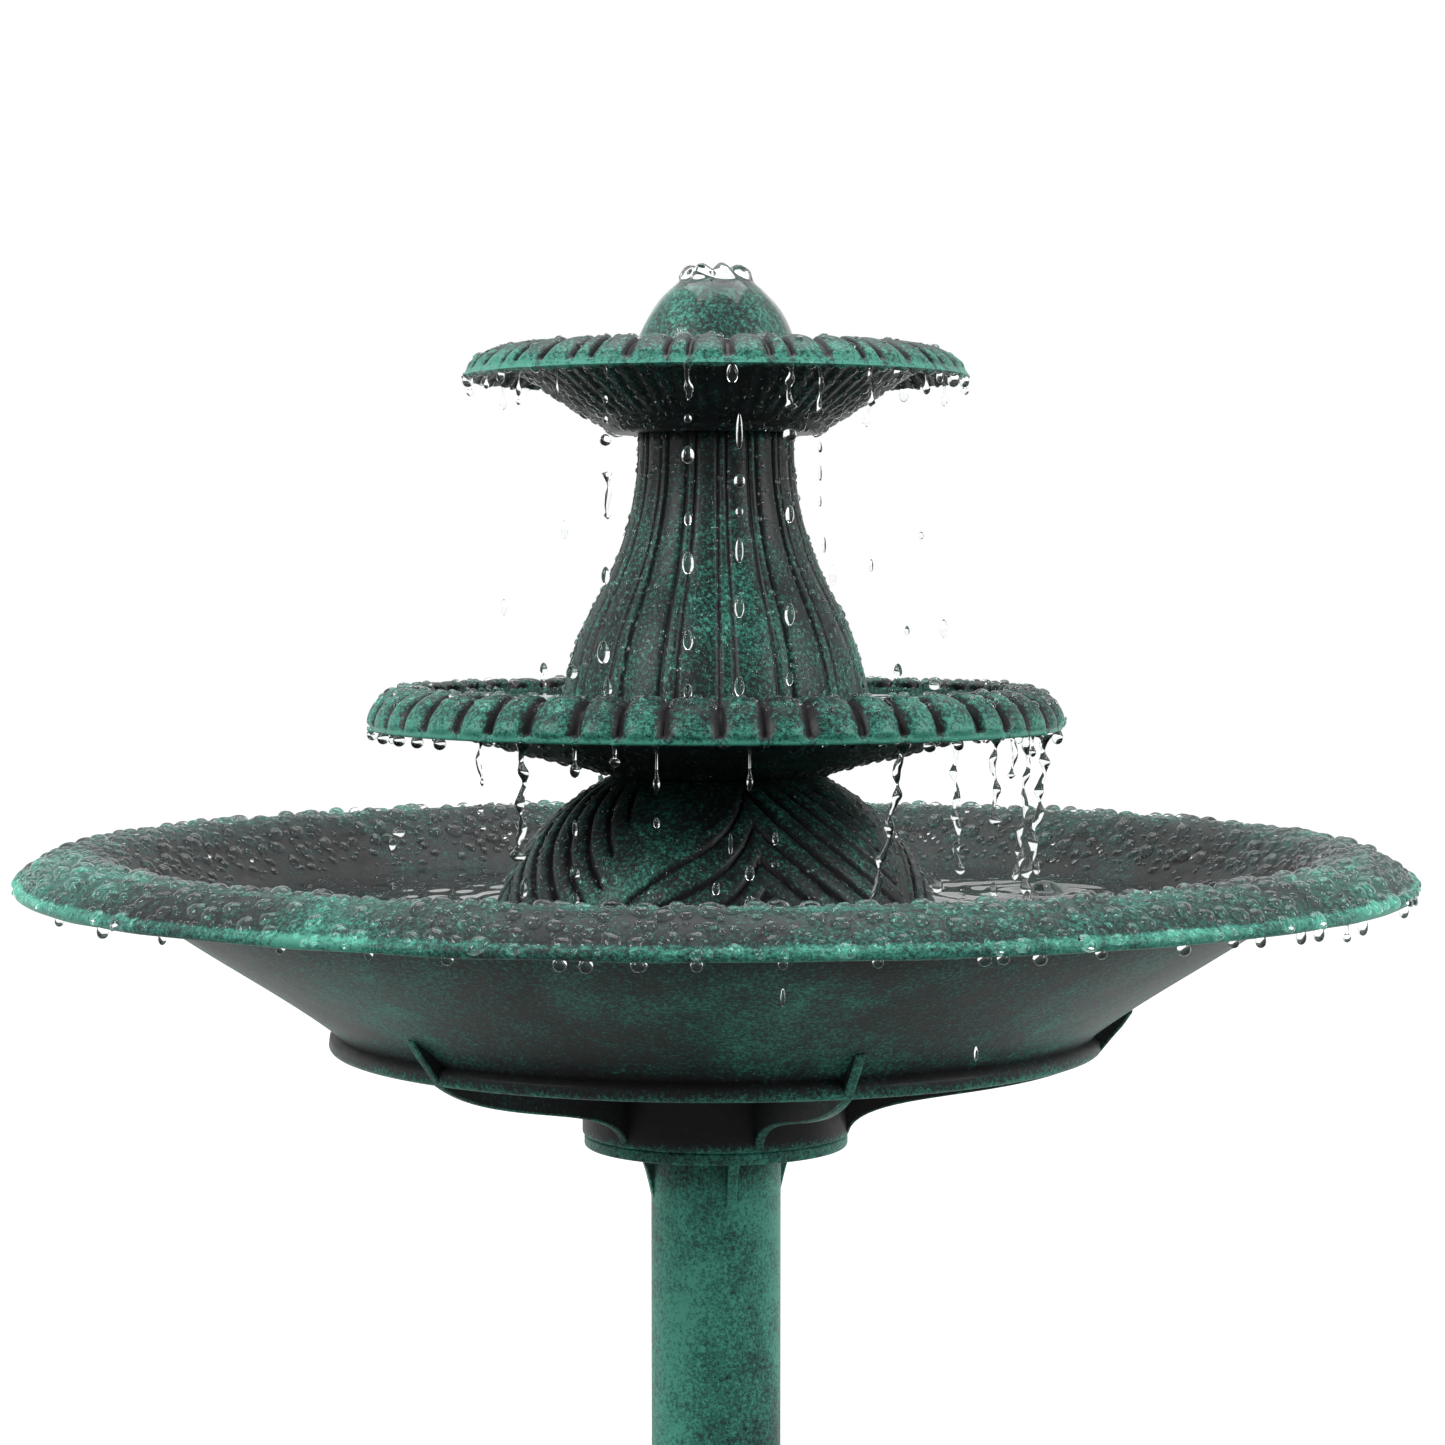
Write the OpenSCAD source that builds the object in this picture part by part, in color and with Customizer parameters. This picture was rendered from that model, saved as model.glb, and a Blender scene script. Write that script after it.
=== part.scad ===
// Three-tier pedestal garden fountain with its submersible pump.
// Millimetres, +Z up, origin on the ground at the centre of the base.

/* [Overall] */
// Height of the pedestal up to the underside of its top flange
pedestal_h = 655; // [560:5:750]
// Outside diameter of the moulded pedestal tube
column_d = 54.8; // [50:0.2:60]
// Wall thickness of the large moulded shells
wall = 3.5; // [3:0.1:4]

/* [Base] */
// Diameter of the foot on the ground
base_d = 300; // [280:5:340]
// Diameter of the circle of ground anchor holes
anchor_pcd = 284; // [276:1:286]
// Radius of each anchor hole
anchor_r = 3.25; // [2.5:0.25:4]

/* [Basin] */
// Outside diameter of the basin's rim
basin_d = 580; // [560:5:600]
// Number of ribs under the basin
rib_count = 6; // [4:1:8]

/* [Tiers] */
// Outside diameter of the middle bowl
mid_d = 290; // [280:2:300]
// Outside diameter of the top bowl
top_d = 212; // [206:2:220]
// Number of three-lobed leaf groups around each bowl
leaf_groups = 16; // [8:1:20]
// Radius of the leaf dome that covers the pump
dome_r = 98; // [96:0.5:99]

/* [Pump] */
// Width of the pump across its body
pump_w = 56; // [54:1:60]
// Number of impeller blades
blade_count = 4; // [3:1:6]

/* [Hidden] */
$fn = 96;

// Heights of the joints between the stacked pieces
flange_t = 5;
hub_z = pedestal_h + flange_t;
floor_z = hub_z + 43.5;
neck_z = floor_z + 107.5;
tier_z = neck_z + 143.2;
crown_z = neck_z + 205;

// Pedestal
column_r = column_d / 2;
column_in = column_r - 2.8;
flange_r = 55.6;
joint_z = 380;
socket_z = 100;
stem_r = 12;
stem_bore = 9;
stem_top = floor_z + 9.5;
gusset_count = 4;
gusset_phase = -76.4;

// Basin
basin_r = basin_d / 2;
hub_r = 56.4;
collar_r = 162.4;
wall_slope = 0.8;
rim_z = floor_z + 77.8;
crest_r = basin_r - 26;
rib_phase = -72;
rib_t = 4;

// Bowls
mid_r = mid_d / 2;
mid_lip = 16;
mid_lip_z = neck_z + 20.3;
mid_floor_slope = 0.27;
top_r = top_d / 2;
top_lip = 24.4;
top_crest_z = tier_z + 34.8;
group_a = 360 / leaf_groups;
mid_phase = -97.7;
top_phase = -88;
flute_phase = -86.1;
leaf_phase = -80;

// Tube and pump
tube_r = 6.35;
tube_bore = 4.9;
pump_bottom = floor_z + 12.5;
pump_axis_z = pump_bottom + 20;
pump_top = pump_bottom + 40;

// Points along an arc about c, from angle a0 to a1
function arc(c, r, a0, a1, n = 8) =
    [for (i = [0:n]) let (a = a0 + (a1 - a0) * i / n) [c[0] + r * cos(a), c[1] + r * sin(a)]];
// Points along a cubic curve with the four control points p
function bezier(p, n = 10) =
    [for (i = [0:n]) let (t = i / n, s = 1 - t)
        s * s * s * p[0] + 3 * s * s * t * p[1] + 3 * s * t * t * p[2] + t * t * t * p[3]];
// The point at azimuth a and height z on a sphere of radius r, whose centre is at height z0
function on_sphere(r, z0, a, z) =
    let (h = z - z0, q = sqrt(r * r - h * h)) [q * cos(a), q * sin(a), h];
function unit(v) = v / norm(v);

// Copies of the children, evenly round the axis
module ring_of(n, phase = 0) {
    for (i = [0:n - 1]) rotate([0, 0, phase + 360 / n * i]) children();
}

// A closed outline of [radius, height] turned about the axis
module revolve(points) {
    rotate_extrude() polygon(points);
}

module pipe(r, bore, h) {
    difference() {
        cylinder(r = r, h = h);
        translate([0, 0, -1]) cylinder(r = bore, h = h + 2);
    }
}

// A flat plate standing in the plane of the axis, cut to an outline of [radius, height]
module fin(points, t) {
    rotate([90, 0, 0]) linear_extrude(t, center = true) polygon(points);
}

// A round groove along the great circle between two points of a sphere about the origin
module vein_groove(p, q, g) {
    x = unit(p);
    z = unit(cross(p, q));
    y = cross(z, x);
    span = acos(p * q / norm(p) / norm(q));
    multmatrix([[x[0], y[0], z[0], 0], [x[1], y[1], z[1], 0], [x[2], y[2], z[2], 0], [0, 0, 0, 1]])
        rotate_extrude(angle = span) translate([norm(p), 0]) circle(g, $fn = 24);
}

// Pan-head screw, head at the origin and shank along -Z
module screw(r, len) {
    rotate_extrude() polygon(concat(
        [[0, -len], [r, -len], [r, 0], [2 * r, 0]],
        arc([2 * r - 1, 0.5], 1, 0, 90, 4),
        [[0, 1.5]]));
}

// ---- pedestal ----

module base_foot() {
    r = base_d / 2;
    outer = concat(
        [[r, 0], [r, 3.5], [r - 1.5, 5], [134, 5], [134, 8]],
        arc([120, 8], 14, 0, 90, 8),
        [[114, 22], [112, 27]],
        arc([116, 111], 84, 267, 184, 14),
        [[33, 112], [33, 127]],
        arc([31.5, 127], 1.5, 0, 90, 3),
        [[column_r + 0.3, 128.5], [column_r + 0.3, socket_z], [column_in, socket_z]]);
    inner = concat(
        [[column_in, 97]],
        arc([116, 111], 87.5, 189, 265, 14),
        [[111.5, 18.5], [120, 18.5]],
        arc([120, 8], 10.5, 90, 0, 6),
        [[130.5, 0]]);
    color("#2f6f5c") difference() {
        revolve(concat(outer, inner));
        ring_of(4, 45) translate([anchor_pcd / 2, 0, -1]) cylinder(r = anchor_r, h = 10);
        translate([0, r / 2, 4]) rotate([-90, 0, 0]) cylinder(r = 6, h = r);
        translate([-6, r / 2, -1]) cube([12, r, 5]);
        ring_of(3, 30) translate([20, 0, 119]) rotate([0, 90, 0]) cylinder(r = 2.2, h = 20);
    }
}

module base_screws() {
    color("silver") ring_of(3, 30) translate([33, 0, 119]) rotate([0, 90, 0]) screw(2, 10);
}

module lower_column() {
    color("#2f6f5c") difference() {
        translate([0, 0, socket_z]) pipe(column_r, column_in, joint_z - socket_z);
        ring_of(3, 30) translate([20, 0, 119]) rotate([0, 90, 0]) cylinder(r = 2.1, h = 20);
    }
}

module column_sleeve() {
    color("#222222") translate([0, 0, joint_z - 40]) pipe(column_in - 0.1, column_in - 2.6, 80);
}

module column_ring() {
    r = column_r + 0.15;
    color("#2f6f5c") revolve(concat(
        [[r, joint_z - 7], [r + 1.8, joint_z - 7]],
        arc([r + 0.9, joint_z], 4.5, -60, 60, 8),
        [[r + 1.8, joint_z + 7], [r, joint_z + 7]]));
}

module upper_column() {
    z = pedestal_h;
    color("#2f6f5c") union() {
        revolve(concat(
            [[column_r, joint_z], [column_r, z], [flange_r - 1, z]],
            arc([flange_r - 1.2, z + 1.2], 1.2, -90, 0, 3),
            arc([flange_r - 1.2, hub_z - 1.2], 1.2, 0, 90, 3),
            [[stem_r, hub_z], [stem_r, stem_top], [stem_bore, stem_top], [stem_bore, z + 1.5],
             [column_in, z - 2], [column_in, joint_z]]));
        ring_of(gusset_count, gusset_phase)
            fin(concat(
                [[column_in + 1, z + 1], [column_r + 7.6, z + 1], [column_r + 7.6, z]],
                bezier([[column_r + 7.4, z], [column_r + 3, z - 7], [column_r + 1.6, z - 16],
                        [column_r - 0.4, z - 25]], 8),
                [[column_in + 1, z - 25]]), 4.5);
    }
}

// ---- basin ----

under_z = floor_z - wall;
collar_z = under_z - 2.6;

// Radius of the bowl's sloping outer wall at a height
function basin_wall_r(z) = collar_r + (z - floor_z + 0.9) / wall_slope;

// The bowl's underside, from its rim in to the edge of its flat bottom
function basin_under() =
    let (roll_c = [crest_r, rim_z - 24], lip_c = [crest_r, rim_z - 31.1], slope_a = atan(wall_slope))
    concat(
        [[basin_r - 4.6, rim_z - 15.6]],
        arc(lip_c, 31.1 - wall, 40, 84, 8),
        arc(roll_c, 24 - wall, 90, 90 + slope_a, 6),
        [[collar_r, floor_z - 0.9]],
        arc([collar_r - 3, collar_z + 3], 3, 0, -90, 5),
        [[collar_r - 5, collar_z], [collar_r - 5, under_z]]);

module basin() {
    slope_a = atan(wall_slope);
    top = concat(
        [[stem_r + 0.4, under_z], [stem_r + 0.4, floor_z], [155, floor_z], [161, floor_z + 2.5]],
        arc([crest_r, rim_z - 24], 24, 90 + slope_a, 90, 8),
        arc([crest_r, rim_z - 31.1], 31.1, 84, 42, 8),
        arc([basin_r - 2.6, rim_z - 13.6], 2.6, 32, -80, 6));
    color("#2b5c50") union() {
        revolve(concat(top, basin_under()));
        // Ring that centres the leaf dome
        translate([0, 0, floor_z - 1]) pipe(dome_r - 8.2, dome_r - 11.2, 5);
    }
}

module basin_rib() {
    sweep = bezier([[hub_r + 0.6, hub_z + 1.5], [62, hub_z + 21], [130, hub_z + 16],
                    [161, hub_z + 37.3]], 12);
    fin(concat(sweep,
        [[basin_wall_r(floor_z + 9), floor_z + 4.5], [basin_wall_r(floor_z + 14), floor_z + 14.5],
         [basin_wall_r(floor_z + 14), floor_z + 16.2], [163.5, floor_z + 1.6], [157, floor_z - 1.8],
         [hub_r - 1.8, floor_z - 1.8], [hub_r - 1.8, hub_z + 1.5]]), rib_t);
}

module basin_socket() {
    color("#26433d") difference() {
        union() {
            revolve([[hub_r - wall, hub_z], [hub_r - 1, hub_z], [hub_r, hub_z + 1], [hub_r, under_z - 2],
                     [hub_r + 2, under_z], [hub_r - wall - 2, under_z], [hub_r - wall, under_z - 2]]);
            ring_of(rib_count, rib_phase) basin_rib();
        }
        // Cut to the bowl that it carries
        revolve(concat([[0, under_z], [0, rim_z], [basin_r, rim_z]], basin_under()));
    }
}

module basin_gasket() {
    color("#1a1a1a") translate([0, 0, floor_z]) pipe(17, stem_r + 0.1, 2);
}

module basin_nut() {
    color("#303030") translate([0, 0, floor_z + 2]) difference() {
        union() {
            cylinder(r = 17, h = 1.6);
            cylinder(r = 16.8, h = 6, $fn = 6);
        }
        translate([0, 0, -1]) cylinder(r = stem_r + 0.1, h = 10);
    }
}

module cord_stopper() {
    color("#1a1a1a") translate([0, 0, stem_top]) difference() {
        revolve([[0, -14], [stem_bore - 1.4, -14], [stem_bore - 0.1, 0], [stem_r - 0.5, 0],
                 [stem_r - 0.5, 1.4], [stem_r - 1.2, 2], [0, 2]]);
        translate([2.5, 0, -15]) cylinder(r = 3.1, h = 18);
    }
}

// ---- pump ----

module pump_motor() {
    w = pump_w / 2;
    color("#232527") difference() {
        union() {
            translate([-w + 3, 7, pump_bottom]) cube([2 * w - 6, 25, 40]);
            translate([-w, 7, pump_bottom + 3]) cube([2 * w, 25, 34]);
            for (s = [-1, 1], z = [pump_bottom + 3, pump_top - 3])
                translate([s * (w - 3), 7, z]) rotate([-90, 0, 0]) cylinder(r = 3, h = 25);
            for (z = [0:4]) translate([-w - 0.8, 12, pump_bottom + 8 + 6 * z]) cube([2 * w + 1.6, 16, 2]);
        }
        translate([0, 6, pump_axis_z]) rotate([-90, 0, 0]) cylinder(r = 9, h = 18.5);
        translate([0, 24, pump_axis_z]) rotate([-90, 0, 0]) cylinder(r = 5, h = 4);
        translate([0, 24, pump_bottom + 8]) rotate([-90, 0, 0]) cylinder(r = 4, h = 10);
        for (s = [-1, 1])
            translate([s * (w - 5.5), 22, pump_bottom - 1]) cylinder(r = 2.1, h = 5);
    }
}

module pump_volute() {
    w = pump_w / 2;
    color("#2c2f31") difference() {
        union() {
            translate([-w, -7, pump_bottom + 3]) cube([2 * w, 13.8, 34]);
            translate([-w + 3, -7, pump_bottom]) cube([2 * w - 6, 13.8, 40]);
            translate([0, 0, pump_top - 4]) cylinder(r = 6.8, h = 6);
        }
        translate([0, -8, pump_axis_z]) rotate([-90, 0, 0]) cylinder(r = 15, h = 13);
        translate([0, 4, pump_axis_z]) rotate([-90, 0, 0]) cylinder(r = 9, h = 4);
        translate([0, 0, pump_axis_z + 10]) cylinder(r = 5.2, h = 20);
        for (s = [-1, 1]) {
            translate([s * (w - 5.5), -4, pump_bottom - 1]) cylinder(r = 2.1, h = 5);
            for (t = [-1, 1])
                translate([s * (w - 6), -8, pump_axis_z + 14 * t]) rotate([-90, 0, 0])
                    cylinder(r = 1.6, h = 9);
        }
    }
}

module pump_strainer() {
    w = pump_w / 2;
    color("#232527") difference() {
        translate([-w, -19, pump_bottom]) cube([2 * w, 12, 40]);
        translate([-w + 2, -17, pump_bottom + 2]) cube([2 * w - 4, 11, 36]);
        for (i = [-3, -2, 2, 3], s = [-1, 1])
            translate([i * 5.4 - 1.1, -20, pump_axis_z + 9 * s - 6]) cube([2.2, 4, 12]);
        translate([0, -20, pump_axis_z]) rotate([-90, 0, 0]) {
            cylinder(r = 4, h = 4);
            ring_of(4, 45) translate([6.6, 0, 0]) cylinder(r = 1.8, h = 4);
        }
        for (s = [-1, 1], t = [-1, 1])
            translate([s * (w - 6), -20, pump_axis_z + 14 * t]) rotate([-90, 0, 0])
                cylinder(r = 1.8, h = 9);
    }
    // Bosses that carry the cover's screws, and the ring behind the dial
    color("#232527") {
        for (s = [-1, 1], t = [-1, 1])
            translate([s * (w - 6), -7, pump_axis_z + 14 * t]) rotate([90, 0, 0]) pipe(3.2, 1.8, 10.5);
        translate([0, -7, pump_axis_z]) rotate([90, 0, 0]) pipe(16, 13.5, 10.5);
    }
}

module pump_strainer_screws() {
    w = pump_w / 2;
    color("silver") for (s = [-1, 1], t = [-1, 1])
        translate([s * (w - 6), -19, pump_axis_z + 14 * t]) rotate([90, 0, 0]) screw(1.5, 16);
}

module pump_outlet() {
    z = pump_top - 6;
    color("#3a3d40") revolve([[3.6, z], [5.1, z], [5.1, pump_top + 2], [7.6, pump_top + 2],
        [7.6, pump_top + 4.5], [4.82, pump_top + 4.5], [4.82, pump_top + 18], [4.3, pump_top + 20],
        [3.6, pump_top + 20]]);
}

module pump_shaft() {
    color("white") translate([0, -6, pump_axis_z]) rotate([-90, 0, 0]) cylinder(r = 1.5, h = 33);
}

module pump_shaft_bushes() {
    color("#101010") translate([0, 0, pump_axis_z]) rotate([-90, 0, 0]) {
        translate([0, 0, 24.6]) pipe(4.95, 1.55, 3.3);
        translate([0, 0, -6.9]) pipe(3.4, 1.55, 3);
    }
    // Spider that holds the front bush in the inlet
    color("#101010") translate([0, -5.4, pump_axis_z]) for (a = [0:120:240]) rotate([0, a, 0])
        translate([3.2, -1.5, -1]) cube([11.7, 1.5, 2]);
}

module impeller() {
    color("#4a6b86") translate([0, 0, pump_axis_z]) rotate([-90, 0, 0]) difference() {
        union() {
            translate([0, 0, 4.2]) cylinder(r = 8.3, h = 20);
            translate([0, 0, 2.6]) cylinder(r = 13, h = 1.6);
            translate([0, 0, -3.4]) cylinder(r = 4, h = 8);
            ring_of(blade_count) translate([3, -0.8, -3]) cube([9.6, 1.6, 6]);
        }
        translate([0, 0, -5]) cylinder(r = 1.57, h = 40);
    }
}

module flow_dial() {
    color("#8d9296") translate([0, -19.2, pump_axis_z]) rotate([90, 0, 0]) difference() {
        union() {
            cylinder(r = 10, h = 2);
            translate([-8, -1.2, 1]) cube([16, 2.4, 4]);
            translate([0, 0, -3.4]) cylinder(r = 3.92, h = 4);
        }
        ring_of(4, 45) translate([6.6, 0, -1]) cylinder(r = 1.8, h = 4);
    }
}

module pump_suction_cups() {
    w = pump_w / 2;
    color("#151515") for (s = [-1, 1], y = [-4, 22]) translate([s * (w - 5.5), y, floor_z])
        revolve([[0, 1.2], [3, 1.2], [4.7, 0], [5.1, 0], [5.1, 0.6], [3, 4.5],
            [2.4, 8], [3.4, 10], [3.4, 12.4], [2, 12.4], [2, 15], [0, 15]]);
}

module pump_cord_gland() {
    color("#101010") translate([0, 32, pump_bottom + 8]) rotate([-90, 0, 0]) difference() {
        union() {
            translate([0, 0, -7.5]) cylinder(r = 3.9, h = 8);
            cylinder(r = 5.2, h = 1.5);
            cylinder(r1 = 4.6, r2 = 3.6, h = 9);
        }
        translate([0, 0, -6]) cylinder(r = 2.6, h = 20);
    }
}

// ---- tower ----

module leaf_dome() {
    c = [0, floor_z + 20];
    r = dome_r;
    in = dome_r - 3.5;
    spigot = 33;
    // Leaf veins as [start angle, start height, end angle, end height] from each leaf's midrib
    veins = [[3, 90, 42, 46], [4, 78, 36, 34], [3, 64, 25, 26], [30, 102, 45, 70]];
    color("#26584b") difference() {
        revolve(concat(
            arc(c, r, asin(-20 / r), asin((neck_z - c[1]) / r), 14),
            [[spigot, neck_z], [spigot, neck_z + 11], [spigot - 1, neck_z + 12],
             [spigot - 3, neck_z + 12], [spigot - 3, neck_z - 3]],
            arc(c, in, asin((neck_z - 3 - c[1]) / in), asin(-20 / in), 14)));
        ring_of(6, 0) translate([60, 0, floor_z]) rotate([0, 90, 0]) cylinder(r = 7, h = 50);
        translate([0, 0, c[1]]) ring_of(4, leaf_phase) for (v = veins, side = [0, 1])
            mirror([0, side, 0])
                vein_groove(on_sphere(r, 20, v[0], v[1]), on_sphere(r, 20, v[2], v[3]), 1.1);
    }
}

module middle_bowl() {
    lip_c = [mid_r - mid_lip, mid_lip_z];
    function under(r) = neck_z + mid_floor_slope * (r - 44.5);
    t = 3.4;
    edges = [for (g = [0:leaf_groups - 1], w = [0, 8.6, 15.5]) mid_phase + g * group_a + w];
    color("#2b6b59") difference() {
        revolve(concat(
            [[33.4, neck_z], [44.5, neck_z], [119, under(119)], [126, under(119) + 8.5]],
            arc(lip_c, mid_lip - t, 100, 0, 8),
            arc(lip_c, mid_lip, 0, 96, 10),
            [[lip_c[0] - 5, lip_c[1] + 13], [116.5, under(116.5) + t],
             [68, neck_z + 9.8], [60, neck_z + 9.8], [60, neck_z + 13], [57.5, neck_z + 13],
             [57.5, neck_z + 6.9], [45, under(45) + t], [36.6, under(45) + t], [36.6, neck_z + 15.5],
             [tube_r + 0.25, neck_z + 15.5], [tube_r + 0.25, neck_z + 12.5], [33.4, neck_z + 12.5]]));
        for (a = edges) rotate([0, 0, a])
            fin(concat(arc(lip_c, mid_lip - 1.6, 8, 88, 6), arc(lip_c, mid_lip + 3, 92, 4, 5)), 2);
    }
}

module middle_washer() {
    color("#1a1a1a") translate([0, 0, neck_z + 15.5]) pipe(12, tube_r + 0.05, 2.5);
}

module fluted_column() {
    foot = neck_z + 9.8;
    waist = [162.2, neck_z + 139];
    belly = [-48.8, neck_z + 17.2];
    function side(d) = concat(
        arc(belly, 113.6 + d, 0, 29, 6),
        arc(waist, 130 - d, 210, 180, 9));
    line = side(0);
    deep = side(-1.3);
    color("#2a5f50") difference() {
        revolve(concat(
            [[64.8, foot]], line,
            [[32.2, tier_z], [24, tier_z], [24, tier_z + 12], [21, tier_z + 12], [21, tier_z - 3],
             [29, tier_z - 3]],
            arc(waist, 133, 180, 210, 9),
            arc(belly, 110.6, 29, 0, 6),
            [[61.8, foot]]));
        for (i = [0:leaf_groups - 1], s = [-3, 3]) rotate([0, 0, flute_phase + i * group_a + s])
            fin(concat(deep, [[70, neck_z + 138], [70, neck_z + 17.2]]), 2);
    }
}

module top_bowl() {
    lip_c = [top_r - 20.5, top_crest_z - top_lip];
    function under(r) = tier_z + 1.3 + 0.65 * (r - 45);
    t = 3;
    edges = [for (g = [0:leaf_groups - 1], w = [0, 9.1, 14.1]) top_phase + g * group_a + w];
    color("#2b6b59") difference() {
        revolve(concat(
            [[24.4, tier_z], [43, tier_z], [46, tier_z + 2], [80, under(80)], [83.2, under(80) + 5]],
            arc(lip_c, top_lip - t, 92, 32, 8),
            arc(lip_c, top_lip, 33.3, 94, 8),
            [[lip_c[0] - 4, top_crest_z - 2.5], [77, under(77) + t + 0.6], [48, under(48) + t + 0.6],
             [43, tier_z + 3.4], [27.4, tier_z + 3.4], [27.4, tier_z + 15.5],
             [tube_r + 0.25, tier_z + 15.5], [tube_r + 0.25, tier_z + 12.8], [24.4, tier_z + 12.8]]));
        for (a = edges) rotate([0, 0, a])
            fin(concat(arc(lip_c, top_lip - 1.3, 37, 86, 6), arc(lip_c, top_lip + 3, 89, 35, 5)), 1.6);
    }
}

module top_washer() {
    color("#1a1a1a") translate([0, 0, tier_z + 15.5]) pipe(12, tube_r + 0.05, 2.5);
}

module riser_tube() {
    z0 = pump_top + 5;
    color("#c8d4d2") translate([0, 0, z0]) pipe(tube_r, tube_bore, crown_z - 12 - z0);
}

module spout_dome() {
    z = tier_z + 3.4;
    outer = bezier([[14.8, crown_z], [22, crown_z - 5.5], [29, crown_z - 15], [33.5, crown_z - 28]], 10);
    inner = bezier([[30.5, crown_z - 28], [26, crown_z - 16], [20, crown_z - 9], [13, crown_z - 5.5]], 8);
    color("#2f7a66") revolve(concat(
        [[7.5, crown_z - 3], [12.5, crown_z - 0.6]], outer,
        [[34.2, crown_z - 34], [34.2, z], [31, z], [31, crown_z - 34]], inner,
        [[9.6, crown_z - 6], [9.6, crown_z - 26], [tube_r + 0.15, crown_z - 26],
         [tube_r + 0.15, crown_z - 11], [7.5, crown_z - 11]]));
}

base_foot();
base_screws();
lower_column();
column_sleeve();
column_ring();
upper_column();
basin();
basin_socket();
basin_gasket();
basin_nut();
cord_stopper();
pump_motor();
pump_volute();
pump_strainer();
pump_strainer_screws();
pump_outlet();
pump_shaft();
pump_shaft_bushes();
impeller();
flow_dial();
pump_suction_cups();
pump_cord_gland();
leaf_dome();
middle_bowl();
middle_washer();
fluted_column();
top_bowl();
top_washer();
riser_tube();
spout_dome();
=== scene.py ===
"""Looks of a three-tier pedestal garden fountain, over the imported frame.

Shapes are in millimetres. Materials, camera, lamps and floor are in metres."""
import math

import bmesh
import bpy
import numpy as np
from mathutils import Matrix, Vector


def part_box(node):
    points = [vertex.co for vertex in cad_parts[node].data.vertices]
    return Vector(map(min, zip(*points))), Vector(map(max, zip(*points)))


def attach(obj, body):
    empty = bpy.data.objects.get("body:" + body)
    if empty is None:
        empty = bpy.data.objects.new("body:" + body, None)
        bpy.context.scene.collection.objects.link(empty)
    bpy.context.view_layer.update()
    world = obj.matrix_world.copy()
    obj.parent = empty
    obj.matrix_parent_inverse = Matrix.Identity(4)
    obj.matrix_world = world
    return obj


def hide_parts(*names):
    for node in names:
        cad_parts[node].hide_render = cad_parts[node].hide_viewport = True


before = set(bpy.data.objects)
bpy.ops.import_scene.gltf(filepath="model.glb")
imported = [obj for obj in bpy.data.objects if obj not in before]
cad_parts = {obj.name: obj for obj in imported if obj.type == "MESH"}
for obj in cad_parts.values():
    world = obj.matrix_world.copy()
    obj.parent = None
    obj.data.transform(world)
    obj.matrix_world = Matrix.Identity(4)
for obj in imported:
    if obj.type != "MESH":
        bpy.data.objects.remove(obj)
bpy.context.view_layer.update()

MM = 0.001


def low(node):
    """Height of a node's lowest point."""
    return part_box(node)[0].z / MM


def high(node):
    """Height of a node's highest point."""
    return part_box(node)[1].z / MM


def widest(node):
    """Radius of a round node."""
    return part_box(node)[1].x / MM


# Heights of the joints between the stacked pieces, from the joint in the pedestal to the top of the spout
SPLIT_Z = low("upper_column")
HUB_Z = low("basin_socket")
FLANGE_Z = HUB_Z - 5
FLOOR_Z = low("leaf_dome")
NECK_Z = low("middle_bowl")
TIER_Z = low("top_bowl")
CROWN_Z = high("spout_dome")

# Water levels in the basin, the middle bowl and the top bowl
POOL_Z = FLOOR_Z + 53
TROUGH_Z = NECK_Z + 31.5
CUP_Z = TIER_Z + 28.5

# Degrees in a radian, for widths across a round piece
RADIAN = 57.3


# ---- outlines and meshes ----


def arc(c, r, a0, a1, n):
    """Points on a circle round c, from angle a0 to a1."""
    a = np.radians(np.linspace(a0, a1, n + 1))
    return np.stack([c[0] + r * np.cos(a), c[1] + r * np.sin(a)], 1)


def bezier(p0, p1, p2, p3, n):
    t = np.linspace(0, 1, n + 1)[:, None]
    p0, p1, p2, p3 = (np.array(p, float) for p in (p0, p1, p2, p3))
    return (1 - t) ** 3 * p0 + 3 * (1 - t) ** 2 * t * p1 + 3 * (1 - t) * t * t * p2 + t**3 * p3


def joined(parts, step):
    """One outline of all the parts, with no edge longer than step and no point repeated."""
    points = np.vstack([np.atleast_2d(np.array(p, float)) for p in parts])
    out = [points[0]]
    for p in points[1:]:
        gap = np.linalg.norm(p - out[-1])
        if gap < 0.05:
            continue
        a, n = out[-1], max(1, math.ceil(gap / (step(p) if callable(step) else step)))
        out += [a + (p - a) * k / n for k in range(1, n + 1)]
    return np.array(out)


def smooth(edge0, edge1, x):
    """0 up to edge0, 1 from edge1, and a smooth step between them."""
    s = np.clip((x - edge0) / (edge1 - edge0), 0, 1)
    return s * s * (3 - 2 * s)


def bump(x, width):
    """1 at x = 0, fading to nothing at about twice the width."""
    return np.exp(-((x / width) ** 2))


def waves(r, z, t, seed, scale):
    """Smooth random values about 0 at a radius, height and azimuth, from nine crossed sines."""
    rng = np.random.default_rng(seed)
    x, y = r * np.sin(np.radians(t)), r * np.cos(np.radians(t))
    out = 0
    for k in range(9):
        way = rng.normal(size=3)
        way *= 2 * math.pi * rng.uniform(0.5, 1.5) / scale / np.linalg.norm(way)
        out = out + np.sin(way[0] * x + way[1] * y + way[2] * z + rng.uniform(0, 7))
    return out / 6


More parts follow.
